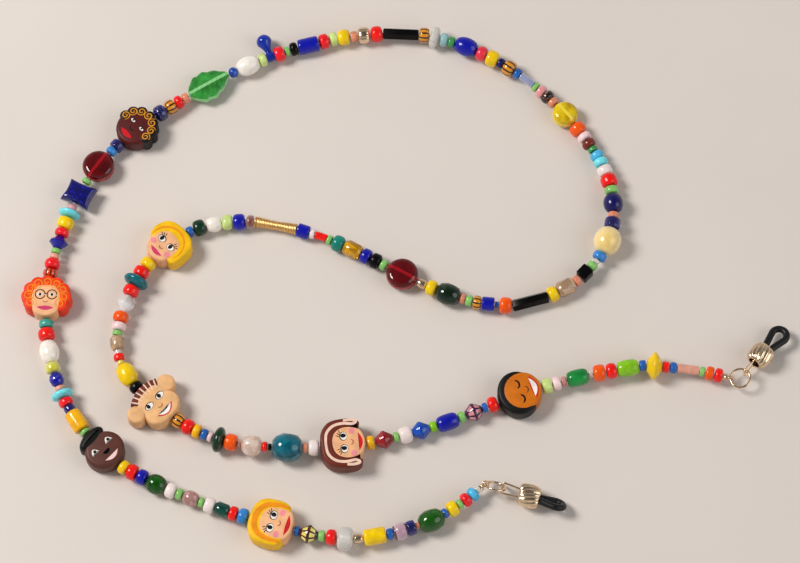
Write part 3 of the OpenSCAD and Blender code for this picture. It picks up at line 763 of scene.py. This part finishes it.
def cut(piece, spot, finish_name, sides=9):
    """A fire-polished round, its surface cut in rows of triangles."""
    end_r = max(spot.width / 2 * 0.5, BORE_R + 0.2)
    profile = cut_profile(spot, end_r, (0.72, 0.84), (0.24, 1))
    piece.add(facet(profile, sides), finish_name, spot.place, smooth=False)


def drum(piece, spot, finish_name, sides=8):
    """A straight-sided cut bead with bevelled ends."""
    profile = cut_profile(spot, spot.width / 2 * 0.72, (0.66, 1))
    piece.add(facet(profile, sides), finish_name, spot.place, smooth=False)


def bicone(piece, spot, finish_name, sides=8):
    profile = cut_profile(spot, BORE_R + 0.35, (0.1, 1))
    piece.add(lathe(profile, sides), finish_name, spot.place, smooth=False)


def saucer(piece, spot, finish_name, sides=40):
    profile = cut_profile(spot, spot.width / 2 * 0.4, (0.55, 0.72), (0.16, 0.97), (0, 1))
    piece.add(lathe(profile, sides), finish_name, spot.place)


def hexagon(piece, spot, finish_name, sides=6):
    """A six-sided bugle with broken edges at its ends."""
    profile = cut_profile(spot, spot.width / 2 * 0.86, (0.95, 1))
    piece.add(lathe(profile, sides), finish_name, spot.place, smooth=False)


def coil(piece, spot, finish_name, turns=24, wire_r=0.24):
    """Wire wound around a waisted tube, with bright end caps."""
    steps, waist = 14, 0.2
    half = spot.length / 2
    wound_r = spot.width / 2 - wire_r
    path = []
    for k in range(turns * steps + 1):
        angle = 2 * pi * k / steps
        u = 2 * k / (turns * steps) - 1
        r = wound_r * (1 - waist * cos(pi / 2 * u) ** 2)
        path.append(((half - 0.5) * u, r * cos(angle), r * sin(angle)))
    piece.add(swept(path, wire_r, Vector((1, 0, 0)), 8), finish_name, spot.place)
    core = round_profile(spot.length, 2 * (wound_r * (1 - waist) - 0.1), 12, BORE_R * 0.8)
    piece.add(lathe(core), finish_name, spot.place)
    for end in (-1, 1):
        cap = [(x + end * (half - 0.25), r) for x, r in round_profile(0.5, spot.width, 4)]
        piece.add(lathe(cap), finish_name, spot.place)


def cube(piece, spot, finish_name):
    half = spot.length / 2
    square = [(half, half), (-half, half), (-half, -half), (half, -half)]
    corners = []
    for x, y in square:
        broken = half - 0.25
        turn = [(x, y * broken / half), (x * broken / half, y)]
        corners += turn if x * y > 0 else reversed(turn)
    piece.add(pad(corners, -half, half, 0.25), finish_name, spot.place)


def flower(piece, spot, finish_name, petals=6):
    """A rondelle with a wavy rim."""
    profile = round_profile(spot.length, spot.width, 2.6)
    petal = lathe(profile, petals * 12, lambda a: 0.86 + 0.14 * abs(cos(a * petals / 2)) ** 0.7)
    piece.add(petal, finish_name, spot.place)


def coin(piece, spot, glass, bore_finish):
    """A flat round bead, whose bore shows as a paler line across it: a painted highlight from its
    glass finish, over a lining in the bore.
    """
    r, half = spot.length / 2, spot.height / 2
    count = 48
    outline = [(r * cos(2 * pi * k / count), r * sin(2 * pi * k / count)) for k in range(count)]
    piece.add(pad(outline, -half, half, half * 0.8, 8), glass, spot.place)
    lining = round_profile(spot.length + 0.1, 2 * BORE_R + 0.3, 12, BORE_R * 0.9)
    piece.add(lathe(lining), bore_finish, spot.place)


def leaf(piece, spot, finish_name):
    """A pressed glass leaf, its broad end towards end A, with a mid-rib and side veins."""
    half_l, half_w, half_t = spot.length / 2, spot.width / 2, spot.height / 2
    lobes = 4

    def edge(u):
        swell = sin(pi * (0.5 + u / 2)) ** 0.6 * (1 - 0.25 * u)
        return half_w * min(swell * (0.95 + 0.05 * cos(pi * lobes * (u + 1))), 1)

    def place_at(u, v):
        return half_l * u, v * max(edge(u), 0.75)

    def height_at(u, v):
        vein = abs(sin(pi * lobes * (u + 0.35 * abs(v))))
        rib = math.exp(-(v / 0.12) ** 2)
        return half_t * (1 - v ** 4) ** 0.5 * (0.78 + 0.1 * vein + 0.12 * rib)

    piece.add(quilt(place_at, height_at, 60, 24), finish_name, spot.place)


def pillow(piece, spot, finish_name):
    """A square cushion of glass, with hollowed sides and flared corners."""
    half_l, half_w, half_t = spot.length / 2, spot.width / 2, spot.height / 2
    dip = 0.13

    def place_at(u, v):
        return half_l * u * (1 - dip * (1 - v * v)), half_w * v * (1 - dip * (1 - u * u))

    def height_at(u, v):
        return half_t * ((1 - u ** 10) * (1 - v ** 10)) ** 0.4 * (1 - 0.1 * (u * u + v * v))

    piece.add(quilt(place_at, height_at, 28, 28), finish_name, spot.place)


def pendant(piece, spot, finish_name):
    """A teardrop on its side, hanging by its neck, with its bulb to the outside of the strand."""
    bulb_r, bulb_y, neck_r, stem_r, tip_r = 2.2, 5.2, 1.3, 0.75, 0.02
    piece.add(lathe(round_profile(spot.length, 2 * neck_r, 3)), finish_name, spot.place)
    profile = [(neck_r * 0.8, tip_r)]
    for k in range(13):
        t = k / 12
        swelling = stem_r + (bulb_r - stem_r) * t ** 1.7
        profile.append((neck_r * 0.8 + t * (bulb_y - neck_r), swelling))
    profile += [(bulb_y + bulb_r * sin(pi * k / 16), bulb_r * cos(pi * k / 16)) for k in range(1, 8)]
    profile.append((bulb_y + bulb_r, tip_r))
    outward = spot.place @ Matrix.Rotation(pi / 2, 4, "Z")
    piece.add(lathe(profile), finish_name, outward)


# Finishes of the seed beads of each node, from end A; red*3 stands for three in a row
SEEDS = {
    "red_beads": "rose_red red*3 rose_red red rose_red*2 red rose_red*2 red*11",
    "yellow_beads": "yellow*8 amber_yellow",
    "orange_beads": "orange*6",
    "white_beads": "white*4 cream white*2",
    "light_green_beads": "green*5 lime_pearl green*2 pale_lime green pale_lime leaf_green green "
                         "leaf_green green*5 pale_lime green*2 lime green pale_lime green",
    "sky_beads": "sky blue*3 azure sea_green azure pale_teal blue sky turquoise azure blue teal "
                 "blue*5",
    "black_beads": "black spotted_black black*3",
    "pink_beads": "salmon peach*2 pink salmon*2 magenta_red pink_pearl salmon pale_pink salmon*3 "
                  "pale_pink*2 clear_pink salmon pale_pink dusty_pink",
    "striped_beads": "red_striped striped*5",
    "amber_beads": "root_beer copper amber_yellow",
}
SPECIALS = {
    "navy_beads": [
        (lined, "clear_navy", "navy"), (seed, "cobalt"), (lined, "clear_navy", "navy"),
        (lined, "clear_navy", "navy"), (seed, "streaked_navy"), (seed, "navy"),
        (lined, "clear_navy", "navy"), (seed, "cobalt"), (seed, "cobalt"),
    ],
    "clear_crystals": [
        (ball, "clear"), (ball, "clear"), (bicone, "cut_clear"), (ball, "clear"),
        (cut, "cut_pink"), (ball, "clear"),
    ],
    "green_crystals": [(cut, "cut_green"), (cut, "cut_dark_green")],
    "teal_crystal": [(cut, "cut_teal")],
    "ruby_bicone": [(bicone, "cut_ruby")],
    "blue_crystals": [
        (cut, "cut_navy"), (bicone, "cut_navy"), (cut, "cut_blue"), (bicone, "cut_blue"),
    ],
    "mirror_bicones": [(bicone, "sun_panels"), (bicone, "pink_panels")],
    "smoky_drums": [(drum, "cut_champagne"), (drum, "cut_amber"), (drum, "cut_champagne")],
    "clear_drum": [(barrel, "clear")],
    "glass_rondelles": [(ball, "clear_teal"), (ball, "bottle")],
    "flower_rondelle": [(flower, "clear")],
    "rose_beads": [(rimmed, "lilac", "lilac_rim"), (cut, "cut_rose")],
    "dark_green_beads": [(drum, "cut_dark_teal"), (ball, "clear_green"), (seed, "bottle")],
    "cobalt_beads": [
        (tube, "cobalt"), (ball, "cobalt"), (ball, "navy"), (tube, "cobalt"), (tube, "cobalt"),
        (barrel, "cobalt"),
    ],
    "white_ovals": [(ball, "white_pearl"), (ball, "white_pearl")],
    "green_barrels": [(barrel, "grass"), (barrel, "lime")],
    "bugle_beads": [(tube, "bugle_blue"), (tube, "red"), (tube, "peach")],
    "turquoise_discs": [(ball, "turquoise"), (ball, "turquoise")],
    "silver_spacers": [(ball, "silver"), (ribbed, "silver"), (ball, "silver")],
    "yellow_tubes": [(tube, "yellow"), (tube, "amber_yellow"), (ball, "yellow")],
    "yellow_saucer": [(saucer, "yellow")],
    "pearls": [(ball, "yellow_pearl"), (ball, "white_pearl")],
    "black_tubes": [(hexagon, "black"), (hexagon, "black")],
    "gold_coil_tube": [(coil, "gold")],
    "black_cube": [(cube, "black")],
    "ruby_coin_upper": [(coin, "clear_ruby", "ruby_bore")],
    "ruby_coin_middle": [(coin, "clear_ruby", "ruby_bore")],
    "yellow_coin": [(coin, "clear_yellow", "amber_yellow")],
    "leaf_bead": [(leaf, "leaf_glass")],
    "pillow_bead": [(pillow, "pillow_navy")],
    "teardrop_pendant": [(pendant, "pendant_blue")],
}


def seeds(words):
    """A maker and finish for each seed bead of a row of SEEDS."""
    counted = [word.partition("*") for word in words.split()]
    return [(seed, name) for name, _, times in counted for _ in range(int(times or 1))]


def make_beads():
    makers = {node: seeds(words) for node, words in SEEDS.items()} | SPECIALS
    for node, beads in makers.items():
        piece = Piece()
        for spot, (maker, *finishes) in zip(spots(node), beads, strict=True):
            maker(piece, spot, *finishes)
        piece.make(f"{node}_look", node)


# ---- Outlines for the face beads, in (right, crownward) millimetres ----
def oval(right, up, width, height, turn=0.0, count=28):
    lean = radians(turn)
    outline = []
    for k in range(count):
        x = width / 2 * cos(2 * pi * k / count)
        y = height / 2 * sin(2 * pi * k / count)
        outline.append((right + x * cos(lean) - y * sin(lean), up + x * sin(lean) + y * cos(lean)))
    return outline


def flat(smoother, line):
    """A line or loop of (x, y) points, made smooth."""
    return [(p.x, p.y) for p in smoother([(x, y, 0) for x, y in line], 4)]


def both_sides(half):
    """A smooth loop from a half outline, given from the crown down the right side."""
    return flat(smooth_closed, half + [(-x, y) for x, y in reversed(half) if x > 0.01])


def arc(right, up, radius, start, end, count=14, flatten=1.0):
    """Points on an arc; angles are in degrees, anticlockwise from the right."""
    turns = [radians(start + (end - start) * k / (count - 1)) for k in range(count)]
    return [(right + radius * cos(a), up + flatten * radius * sin(a)) for a in turns]


def stroke(line, width, taper=0.6):
    """The outline of a brush stroke along a line; a taper of 1 ends in points."""
    last = len(line) - 1
    left, right = [], []
    for i, (x, y) in enumerate(line):
        before, after = line[max(i - 1, 0)], line[min(i + 1, last)]
        along = Vector((after[0] - before[0], after[1] - before[1])).normalized()
        half = width / 2 * (1 - taper * abs(2 * i / last - 1) ** 3)
        left.append((x - along.y * half, y + along.x * half))
        right.append((x + along.y * half, y - along.x * half))
    return left + right[::-1]


def spiral(right, up, radius, turns, start, count=26):
    """A line that winds in from a curl's edge to its middle."""
    line = []
    for k in range(count):
        t = k / (count - 1)
        angle = radians(start) + 2 * pi * turns * t
        reach = radius * (1 - 0.85 * t)
        line.append((right + reach * cos(angle), up + reach * sin(angle)))
    return line


def smile(up, width, depth, thickness, right=0.0):
    """A crescent mouth with its corners up."""
    lower, upper = [], []
    for k in range(13):
        u = 2 * k / 12 - 1
        bottom = up + depth * u * u
        lower.append((right + width / 2 * u, bottom))
        upper.append((right + width / 2 * u, bottom + thickness * (1.02 - u * u)))
    return lower + upper[::-1]


class Face:
    """A clay face bead that is the same on both sides. Its canes run right through it."""
    HALF = 2.86
    STEP = 0.035

    def __init__(self, node, crown_to_b):
        self.piece = Piece()
        turn = -pi / 2 if crown_to_b else pi / 2
        self.place = spots(node)[0].place @ Matrix.Rotation(turn, 4, "Z")

    def slab(self, outline, clay_name, inward=0.0, rounding=0.7):
        """A cane that reaches from face to face; inward sets it back from the surface."""
        half = self.HALF - inward
        self.piece.add(pad(outline, -half, half, rounding), clay_name, self.place)

    def inlay(self, outline, clay_name, level=1):
        """A thin cane at the surface of both faces; a higher level lies over a lower one."""
        top = self.HALF + level * self.STEP
        low = self.HALF - 0.4
        for z_low, z_high in ((low, top), (-top, -low)):
            self.piece.add(pad(outline, z_low, z_high, self.STEP, 1), clay_name, self.place)

    def eyes(self, gap, up, width, height, glance=0.0):
        """A pair of oval eyes with dark lids; glance moves both pupils to the right."""
        lid = 0.36
        for side in (-1, 1):
            self.inlay(oval(side * gap, up, width + lid, height + lid), "clay_dark")
            self.inlay(oval(side * gap, up - 0.1, width, height), "clay_white", 2)
            self.inlay(oval(side * gap + glance, up, height * 0.66, height * 0.86), "clay_dark", 3)

    def lashes(self, gap, up, reach=1.0, count=3):
        """Short strokes that fan outwards over each eye."""
        for side in (-1, 1):
            for k in range(count):
                angle = radians(90 - side * (18 + 26 * k))
                start = (side * (gap + 0.42 * k), up + 0.6 - 0.14 * k)
                end = (start[0] + reach * cos(angle), start[1] + reach * sin(angle))
                middle = ((start[0] + end[0]) / 2, (start[1] + end[1]) / 2)
                self.inlay(stroke([start, middle, end], 0.3, 0.7), "clay_dark")

    def cheeks(self, gap, up, size=1.9):
        for side in (-1, 1):
            self.inlay(oval(side * gap, up, size, size * 0.85), "clay_pink")

    def nose(self, up, size=0.8, clay_name="clay_nose"):
        self.inlay(stroke(arc(0, up, size, 190, 350), 0.34, 0.7), clay_name, 1)


def face_blond_bob(face):
    face.slab(both_sides([(0, 6.0), (3.4, 5.6), (5.8, 3.6), (6.4, 0.4), (6.2, -2.6), (5.0, -4.3),
                          (2.4, -4.4), (0, -4.4)]), "hair_yellow", 0.05)
    face.slab(both_sides([(0, 3.1), (2.6, 2.5), (4.1, 0.6), (4.5, -2.2), (3.9, -5.0), (1.6, -6.0),
                          (0, -6.1)]), "skin_peach", rounding=0.5)
    crown = [(-4.9, -3.8), (-5.0, -1.0), (-4.2, 2.2), (-2.4, 3.9), (0, 4.4), (2.4, 3.9),
             (4.2, 2.2), (5.0, -1.0), (4.9, -3.8)]
    face.inlay(stroke(flat(smooth_open, crown), 1.5), "hair_orange")
    face.eyes(1.85, -0.3, 2.3, 1.8, 0.15)
    face.lashes(1.85, 0.2)
    face.cheeks(3.1, -2.4)
    face.nose(-1.9)
    face.inlay(smile(-5.4, 5.8, 1.0, 1.25), "clay_red")


def face_beret(face):
    face.slab(oval(0, -0.9, 11.2, 10.4, count=48), "skin_brown", rounding=1.1)
    face.slab(oval(-0.2, 4.0, 8.6, 4.2, 4, 40), "hair_black", -0.3, 1.6)
    for side in (-1, 1):
        face.inlay(smile(0.2, 2.4, -0.5, 1.0, side * 2.5), "clay_white")
        face.inlay(oval(side * 2.5 + 0.15, 0.35, 0.9, 1.0), "clay_dark", 2)
    face.inlay(stroke(arc(0, -1.3, 1.1, 185, 355), 0.3, 0.8), "hair_black")
    face.inlay(smile(-4.6, 4.8, 1.2, 1.1, 0.2), "clay_rose")


def face_red_curls(face):
    curl_r, half_l, half_w, count = 2.1, 6.1, 7.0, 9
    face.slab(oval(0, 0.4, 9.4, 8.4, count=40), "hair_red", 0.12)
    for k in range(count):
        angle = radians(90 + 250 * (k / (count - 1) - 0.5))
        right, up = (half_w - curl_r) * cos(angle), (half_l - curl_r) * sin(angle)
        face.slab(oval(right, up, 2 * curl_r, 2 * curl_r), "hair_red", 0.05 + 0.02 * (k % 2), 0.6)
        curl = spiral(right, up, curl_r * 0.8, 1.6, 360 * k / count)
        face.inlay(stroke(curl, 0.3, 0.5), "hair_orange")
    face.slab(both_sides([(0, 3.3), (2.6, 2.8), (4.0, 0.8), (4.1, -2.2), (3.1, -4.9), (0, -6.0)]),
              "skin_peach", -0.01, 0.5)
    for side in (-1, 1):
        ring = arc(side * 1.65, 0.2, 1.35, 0, 345, 26)
        face.inlay(stroke(ring, 0.28, 0), "clay_dark", 2)
        face.inlay(oval(side * 1.65, 0.15, 1.5, 1.1), "clay_white", 2)
        face.inlay(oval(side * 1.65, 0.15, 0.8, 0.9), "clay_dark", 3)
    face.inlay(stroke([(-0.4, 0.35), (0, 0.5), (0.4, 0.35)], 0.26, 0), "clay_dark", 2)
    face.nose(-1.4, 0.7)
    face.inlay(smile(-4.5, 4.6, 0.8, 1.3), "clay_magenta", 2)


def face_gold_curls(face):
    curl_r, count = 1.7, 7
    face.slab(oval(0, -0.6, 10.6, 11.0, count=44), "skin_maroon", 0.02, 0.9)
    for k in range(count):
        angle = radians(90 + 190 * (k / (count - 1) - 0.5))
        right, up = 4.5 * cos(angle), 4.4 * sin(angle)
        face.slab(oval(right, up, 2 * curl_r, 2 * curl_r), "hair_black", 0.03 * (k % 2) - 0.04, 0.6)
        curl = spiral(right, up, curl_r * 0.78, 1.6, 360 * k / count)
        face.inlay(stroke(curl, 0.38, 0.5), "clay_gold", 2)
    face.eyes(1.8, 0.3, 1.5, 0.8)
    face.nose(-1.2, 0.9, "hair_black")
    face.inlay(smile(-4.7, 4.6, 1.0, 1.5), "clay_red", 2)


def face_blond_fringe(face):
    hair = [(0, 6.0), (3.2, 5.7), (5.6, 3.9), (6.3, 0.9), (6.2, -2.0), (4.9, -3.6), (0, -3.0),
            (-4.4, -2.6), (-6.0, -0.8), (-6.2, 1.6), (-5.2, 4.2), (-3.0, 5.6)]
    face.slab(flat(smooth_closed, hair), "hair_yellow", 0.05)
    face.slab(both_sides([(0, 2.9), (2.4, 2.4), (4.0, 0.4), (4.2, -2.4), (3.0, -5.2), (0, -6.1)]),
              "skin_peach", rounding=0.5)
    face.inlay(stroke(arc(0, -0.6, 5.0, -15, 195, 30), 0.5, 0.8), "hair_orange")
    face.eyes(1.8, -0.5, 2.2, 1.7, -0.15)
    face.lashes(1.8, 0)
    face.cheeks(2.9, -2.7)
    face.nose(-2.1, 0.7)
    face.inlay(smile(-5.1, 4.6, 1.0, 1.2), "clay_magenta")


def face_big_ears(face):
    ear_r = 2.6
    for side in (-1, 1):
        face.slab(oval(side * 6.0, 1.7, 2 * ear_r, 2 * ear_r, count=32), "skin_tan", 0.2, 0.9)
    face.slab(both_sides([(0, 4.8), (3.2, 4.4), (4.6, 2.4), (4.5, 0.4), (5.4, -1.4), (5.2, -3.8),
                          (3.0, -5.8), (0, -6.1)]), "skin_tan", rounding=0.9)
    stripes = 7
    face.slab(stroke(arc(0, -3.4, 8.0, 57, 123), 3.0, 0), "hair_brown", 0.04, 0.4)
    for k in range(stripes):
        angle = 57 + 66 * (k + 0.5) / stripes
        line = [(r * cos(radians(angle)), -3.4 + r * sin(radians(angle))) for r in (6.6, 8.0, 9.4)]
        face.inlay(stroke(line, 0.42, 0.2), "hair_cream")
    face.eyes(2.1, 0.4, 2.5, 1.6, -0.3)
    face.nose(-1.4, 0.8)
    face.inlay(smile(-5.0, 5.8, 1.7, 1.6), "clay_red")
    face.inlay(smile(-4.7, 5.0, 1.55, 1.0), "clay_white", 2)


def face_striped_hair(face):
    face.slab(both_sides([(0, 6.1), (3.6, 5.7), (6.2, 3.6), (7.0, 0.2), (6.9, -3.2), (5.6, -5.0),
                          (4.3, -3.8), (3.8, -1.0), (2.0, 0.6), (0, 0.8)]), "hair_brown", 0.04)
    face.slab(both_sides([(0, 3.2), (2.8, 2.5), (4.4, 0.4), (4.6, -2.4), (3.4, -5.0), (0, -6.1)]),
              "skin_peach", rounding=0.5)
    half = [(0, 4.7), (2.9, 4.3), (4.9, 2.4), (5.5, -0.4), (5.2, -3.0), (5.9, -4.1), (6.4, -2.6),
            (6.3, -0.6)]
    for side in (-1, 1):
        line = flat(smooth_open, [(side * x, y) for x, y in half])
        face.inlay(stroke(line, 0.8, 0.1), "hair_cream", 2)
    face.eyes(1.8, -0.2, 2.2, 1.8, 0.15)
    face.lashes(1.8, 0.3)
    face.cheeks(3.2, -2.7)
    face.nose(-2.0, 0.8)
    face.inlay(smile(-5.4, 5.0, 1.1, 1.0), "clay_red", 2)


def face_black_crescent(face):
    face.slab(oval(0, 0.5, 12.6, 11.2, count=48), "hair_black", 0.08, 0.9)
    face.slab(oval(0, -0.8, 10.8, 10.6, count=48), "skin_orange_brown", rounding=0.6)
    for side in (-1, 1):
        face.inlay(stroke(arc(side * 2.2, 0.7, 1.3, 200, 340), 0.55, 0.6), "clay_dark")
    face.nose(-1.4, 1.0, "skin_brown")
    face.inlay(smile(-5.3, 6.6, 1.5, 2.1), "clay_red")
    face.inlay(smile(-4.95, 5.6, 1.4, 1.4), "clay_white", 2)


CROWN_TO_B = (face_blond_bob, face_beret, face_red_curls, face_gold_curls)
CROWN_TO_A = (face_blond_fringe, face_big_ears, face_striped_hair, face_black_crescent)


def make_faces():
    for draw in CROWN_TO_B + CROWN_TO_A:
        node = draw.__name__
        face = Face(node, draw in CROWN_TO_B)
        draw(face)
        face.piece.make(f"{node}_look", node)


# ---- Wire and end fittings: the CAD source's own lengths, in millimetres ----
GUARD_WIRE_D = 0.5
GUARD_R = 0.8
RING_D = 6.1
RING_WIRE_D = 0.7
RING_R = (RING_D - RING_WIRE_D) / 2
RUBBER_D = 1.9
CRIMP_L = 1.0
CRIMP_D = 1.9
LINK_WIRE_D = 0.6
LINK_BACK, LINK_L = 0.85, 6.2
LINK_WIDE, LINK_NARROW = 1.6, 1.05
SLIDE_L, SLIDE_D = 5.8, 6.6
SLIDE_BORE_D, SLIDE_MOUTH_D, SLIDE_MOUTH_L = 4.1, 3.5, 0.6
LOOP_TURN_R, STRETCHED_D = 1.0, 1.3
LOOP_TIP_R, LOOP_TIP_X = 2.1, 14.3
NECK_Y, NECK_FROM, NECK_TO = RUBBER_D / 2 + 0.05, LINK_L + 1.2, LINK_L + 3.4


def turned(axis, degrees):
    return Matrix.Rotation(radians(degrees), 4, axis)


class Fitting:
    """The frames of one end fitting: its guard and ring, and the link that hangs in the ring."""

    def __init__(self, end, inner, heading, lean, tilt, around, droop, slide_x):
        place = end + (GUARD_R + GUARD_WIRE_D / 2) * (end - inner).normalized()
        turns = turned("Z", heading) @ turned("Y", -tilt) @ turned("X", lean)
        self.ring = Matrix.Scale(MM, 4) @ Matrix.Translation(place) @ turns
        out = Matrix.Translation((RING_R, 0, 0))
        self.ring_centre = self.ring @ out
        self.link = self.ring_centre @ turned("Z", around) @ out @ turned("Y", droop)
        self.slide = self.link @ Matrix.Translation((slide_x, 0, 0))


FITTINGS = {
    "a": Fitting(WIRE[0], WIRE[1], -14, -50, -1, -2, 3, 6.8),
    "b": Fitting(WIRE[-1], WIRE[-2], -4, 0, 10, 53, 9, 6.2),
}


def make_wire():
    """The stringing wire: one free cord from guard to guard, through every bead."""
    curve = bpy.data.curves.new("stringing_wire_look", "CURVE")
    curve.dimensions = "3D"
    curve.bevel_depth = WIRE_D / 2
    curve.bevel_resolution = 3
    curve.use_fill_caps = True
    line = curve.splines.new("POLY")
    line.points.add(len(WIRE) - 1)
    for point, place in zip(line.points, WIRE):
        point.co = (*(place * MM), 1)
    curve.materials.append(finish("steel"))
    wire = place_in_scene("stringing_wire_look", curve)
    settle(wire, "stringing_wire")


def make_crimps():
    """Crimp tubes, pinched in the middle where the pliers closed them."""
    piece = Piece()
    for spot in spots("crimp_tubes"):
        half, r, bore = CRIMP_L / 2, CRIMP_D / 2, WIRE_D / MM / 2 + 0.15
        profile = mirrored((-half, bore), (-half, r * 0.93), (-half * 0.9, r), (-half * 0.45, r),
                           (0, r * 0.82))
        piece.add(lathe(profile, 28, lambda a: 0.94 + 0.06 * cos(2 * a)), "silver", spot.place)
    piece.make("crimp_tubes_look", "crimp_tubes")


def make_guards(wraps=20, steps=8):
    """Gimp: fine wire wound into a small ring at each end, for the jump ring to hang in."""
    piece = Piece()
    fine_r = 0.13
    wound_r = GUARD_WIRE_D / 2 - fine_r
    count = wraps * steps
    path, ups = [], []
    for k in range(count):
        around, twist = 2 * pi * k / count, 2 * pi * k / steps
        out = Vector((cos(around), 0, sin(around)))
        centre = GUARD_R * out
        path.append(centre + wound_r * (cos(twist) * out + sin(twist) * Vector((0, 1, 0))))
        ups.append(Vector((-sin(around), 0, cos(around))))
    for fitting in FITTINGS.values():
        piece.add(swept(path, fine_r, ups, 8, closed=True), "silver", fitting.ring)
    piece.make("wire_guards_look", "wire_guards")


def jump_ring():
    """A jump ring, its two cut ends almost touching."""
    split_at, gap, steps = 30, 4, 60
    turns = [radians(split_at + (360 - gap) * k / steps) for k in range(steps + 1)]
    path = [(RING_R * cos(a), RING_R * sin(a), 0) for a in turns]
    return swept(path, RING_WIRE_D / 2, UP, 14)


def rounded(corners, radius, steps=5):
    """A closed line through the corners, each turned with a soft bend."""
    line = []
    for i, corner in enumerate(corners):
        into = (corners[i - 1] - corner).normalized() * radius
        out = (corners[(i + 1) % len(corners)] - corner).normalized() * radius
        for k in range(steps + 1):
            t = k / steps
            line.append(corner + (1 - t) ** 2 * into + t ** 2 * out)
    return line


def temple_link():
    """A closed wire link, wide at the ring and narrow where the rubber loop turns round it."""
    corners = [Vector((-LINK_BACK, 0, -LINK_WIDE)), Vector((-LINK_BACK, 0, LINK_WIDE)),
               Vector((LINK_L, 0, LINK_NARROW)), Vector((LINK_L, 0, -LINK_NARROW))]
    line = rounded(corners, radius=0.45)
    return swept(line, LINK_WIRE_D / 2, Vector((0, 1, 0)), 12, closed=True)


def rubber_loop():
    """The loop that grips the temple: stretched thin in the link, then a neck and a wide tip."""
    half = [(x, y, STRETCHED_D) for x, y in arc(LINK_L, 0, LOOP_TURN_R, 180, 90, 5)]
    half += [(NECK_FROM, NECK_Y, RUBBER_D), (NECK_TO, NECK_Y, RUBBER_D)]
    half += [(x, y, RUBBER_D) for x, y in arc(LOOP_TIP_X, 0, LOOP_TIP_R, 110, 20, 6)]
    stops = half + [(LOOP_TIP_X + LOOP_TIP_R, 0, RUBBER_D)]
    stops += [(x, -y, diameter) for x, y, diameter in half[:0:-1]]
    line = smooth_closed(stops, 4)
    path, radii = [(p.x, p.y, 0) for p in line], [p.z / 2 for p in line]
    return swept(path, radii, UP, 20, closed=True)


def slide_bead(ribs=14, twist=0.1):
    """The melon bead over the loop's neck; its ribs lean a little and run together at its ends."""
    half, bore, mouth = SLIDE_L / 2, SLIDE_BORE_D / 2, SLIDE_MOUTH_D / 2
    groove, rim = 0.4, 0.06
    flared = bore + 0.12
    lip = flared + rim
    outer = []
    for k in range(21):
        a = pi / 2 * (k / 10 - 1)
        outer.append((half * sin(a), lip + (SLIDE_D / 2 - lip) * cos(a)))
    profile = [(-half, mouth), *outer, (half, flared), (half - SLIDE_MOUTH_L, bore),
               (SLIDE_MOUTH_L - half, bore), (SLIDE_MOUTH_L - half, mouth)]
    points, faces = lathe(profile, ribs * 8)
    melon = []
    for x, y, z in points:
        reach = math.hypot(y, z)
        if reach > bore + 0.01:
            rib = abs(cos((atan2(z, y) + twist * x) * ribs / 2)) ** 0.7
            depth = min(groove, 0.6 * (reach - bore))
            y, z = (c * (1 - depth * (1 - rib) / reach) for c in (y, z))
        melon.append((x, y, z))
    return melon, faces


def make_end_pieces():
    """The loose pieces of both ends, each in its own frame."""
    for side, fitting in FITTINGS.items():
        for part, solid, finish_name, place, sharp in (
            ("jump_ring", jump_ring(), "silver", fitting.ring_centre, 40),
            ("temple_link", temple_link(), "silver", fitting.link, 40),
            ("rubber_loop", rubber_loop(), "rubber", fitting.link, 40),
            ("slide_bead", slide_bead(), "silver", fitting.slide, 60),
        ):
            piece = Piece()
            piece.add(solid, finish_name, place)
            piece.make(f"{part}_{side}_look", f"{part}_{side}", sharp=sharp)


# ---- Stage ----
def make_floor():
    size = 3.0
    bpy.ops.mesh.primitive_plane_add(size=size, location=(0, 0, cad_box[0][2]))
    floor = bpy.context.object
    floor.name = "floor"
    shader = Shader("floor_paper", Roughness=0.7)
    shader.link(shader.uneven(linear("#dcd2ca"), 0.015, 0.02), "Base Color")
    floor.data.materials.append(shader.material)


def area_light(name, place, size, watts, colour=(1, 1, 1)):
    data = bpy.data.lights.new(name, "AREA")
    data.shape = "DISK"
    data.size = size
    data.energy = watts
    data.color = colour
    light = place_in_scene(name, data)
    light.location = place
    light.rotation_euler = (-Vector(place)).to_track_quat("-Z", "Y").to_euler()


def make_light():
    area_light("key", (-0.75, 0.15, 0.9), 0.45, 11.2, (1, 0.98, 0.95))
    area_light("fill", (0.85, -0.3, 0.7), 0.9, 3.6, (0.95, 0.97, 1))
    world = bpy.data.worlds.new("soft_room")
    bpy.context.scene.world = world
    world.use_nodes = True
    tree = world.node_tree
    place = tree.nodes.new("ShaderNodeTexCoord")
    parts = tree.nodes.new("ShaderNodeSeparateXYZ")
    sky = tree.nodes.new("ShaderNodeValToRGB")
    sky.color_ramp.elements[0].color = (0.6, 0.595, 0.59, 1)
    sky.color_ramp.elements[1].color = (0.1, 0.098, 0.096, 1)
    tree.links.new(place.outputs["Generated"], parts.inputs[0])
    tree.links.new(parts.outputs["Z"], sky.inputs["Fac"])
    tree.links.new(sky.outputs["Color"], tree.nodes["Background"].inputs["Color"])
    bpy.context.scene.view_settings.view_transform = "Standard"


make_camera()
make_wire()
make_crimps()
make_guards()
make_end_pieces()
make_beads()
make_faces()
make_floor()
make_light()

bpy.context.view_layer.update()
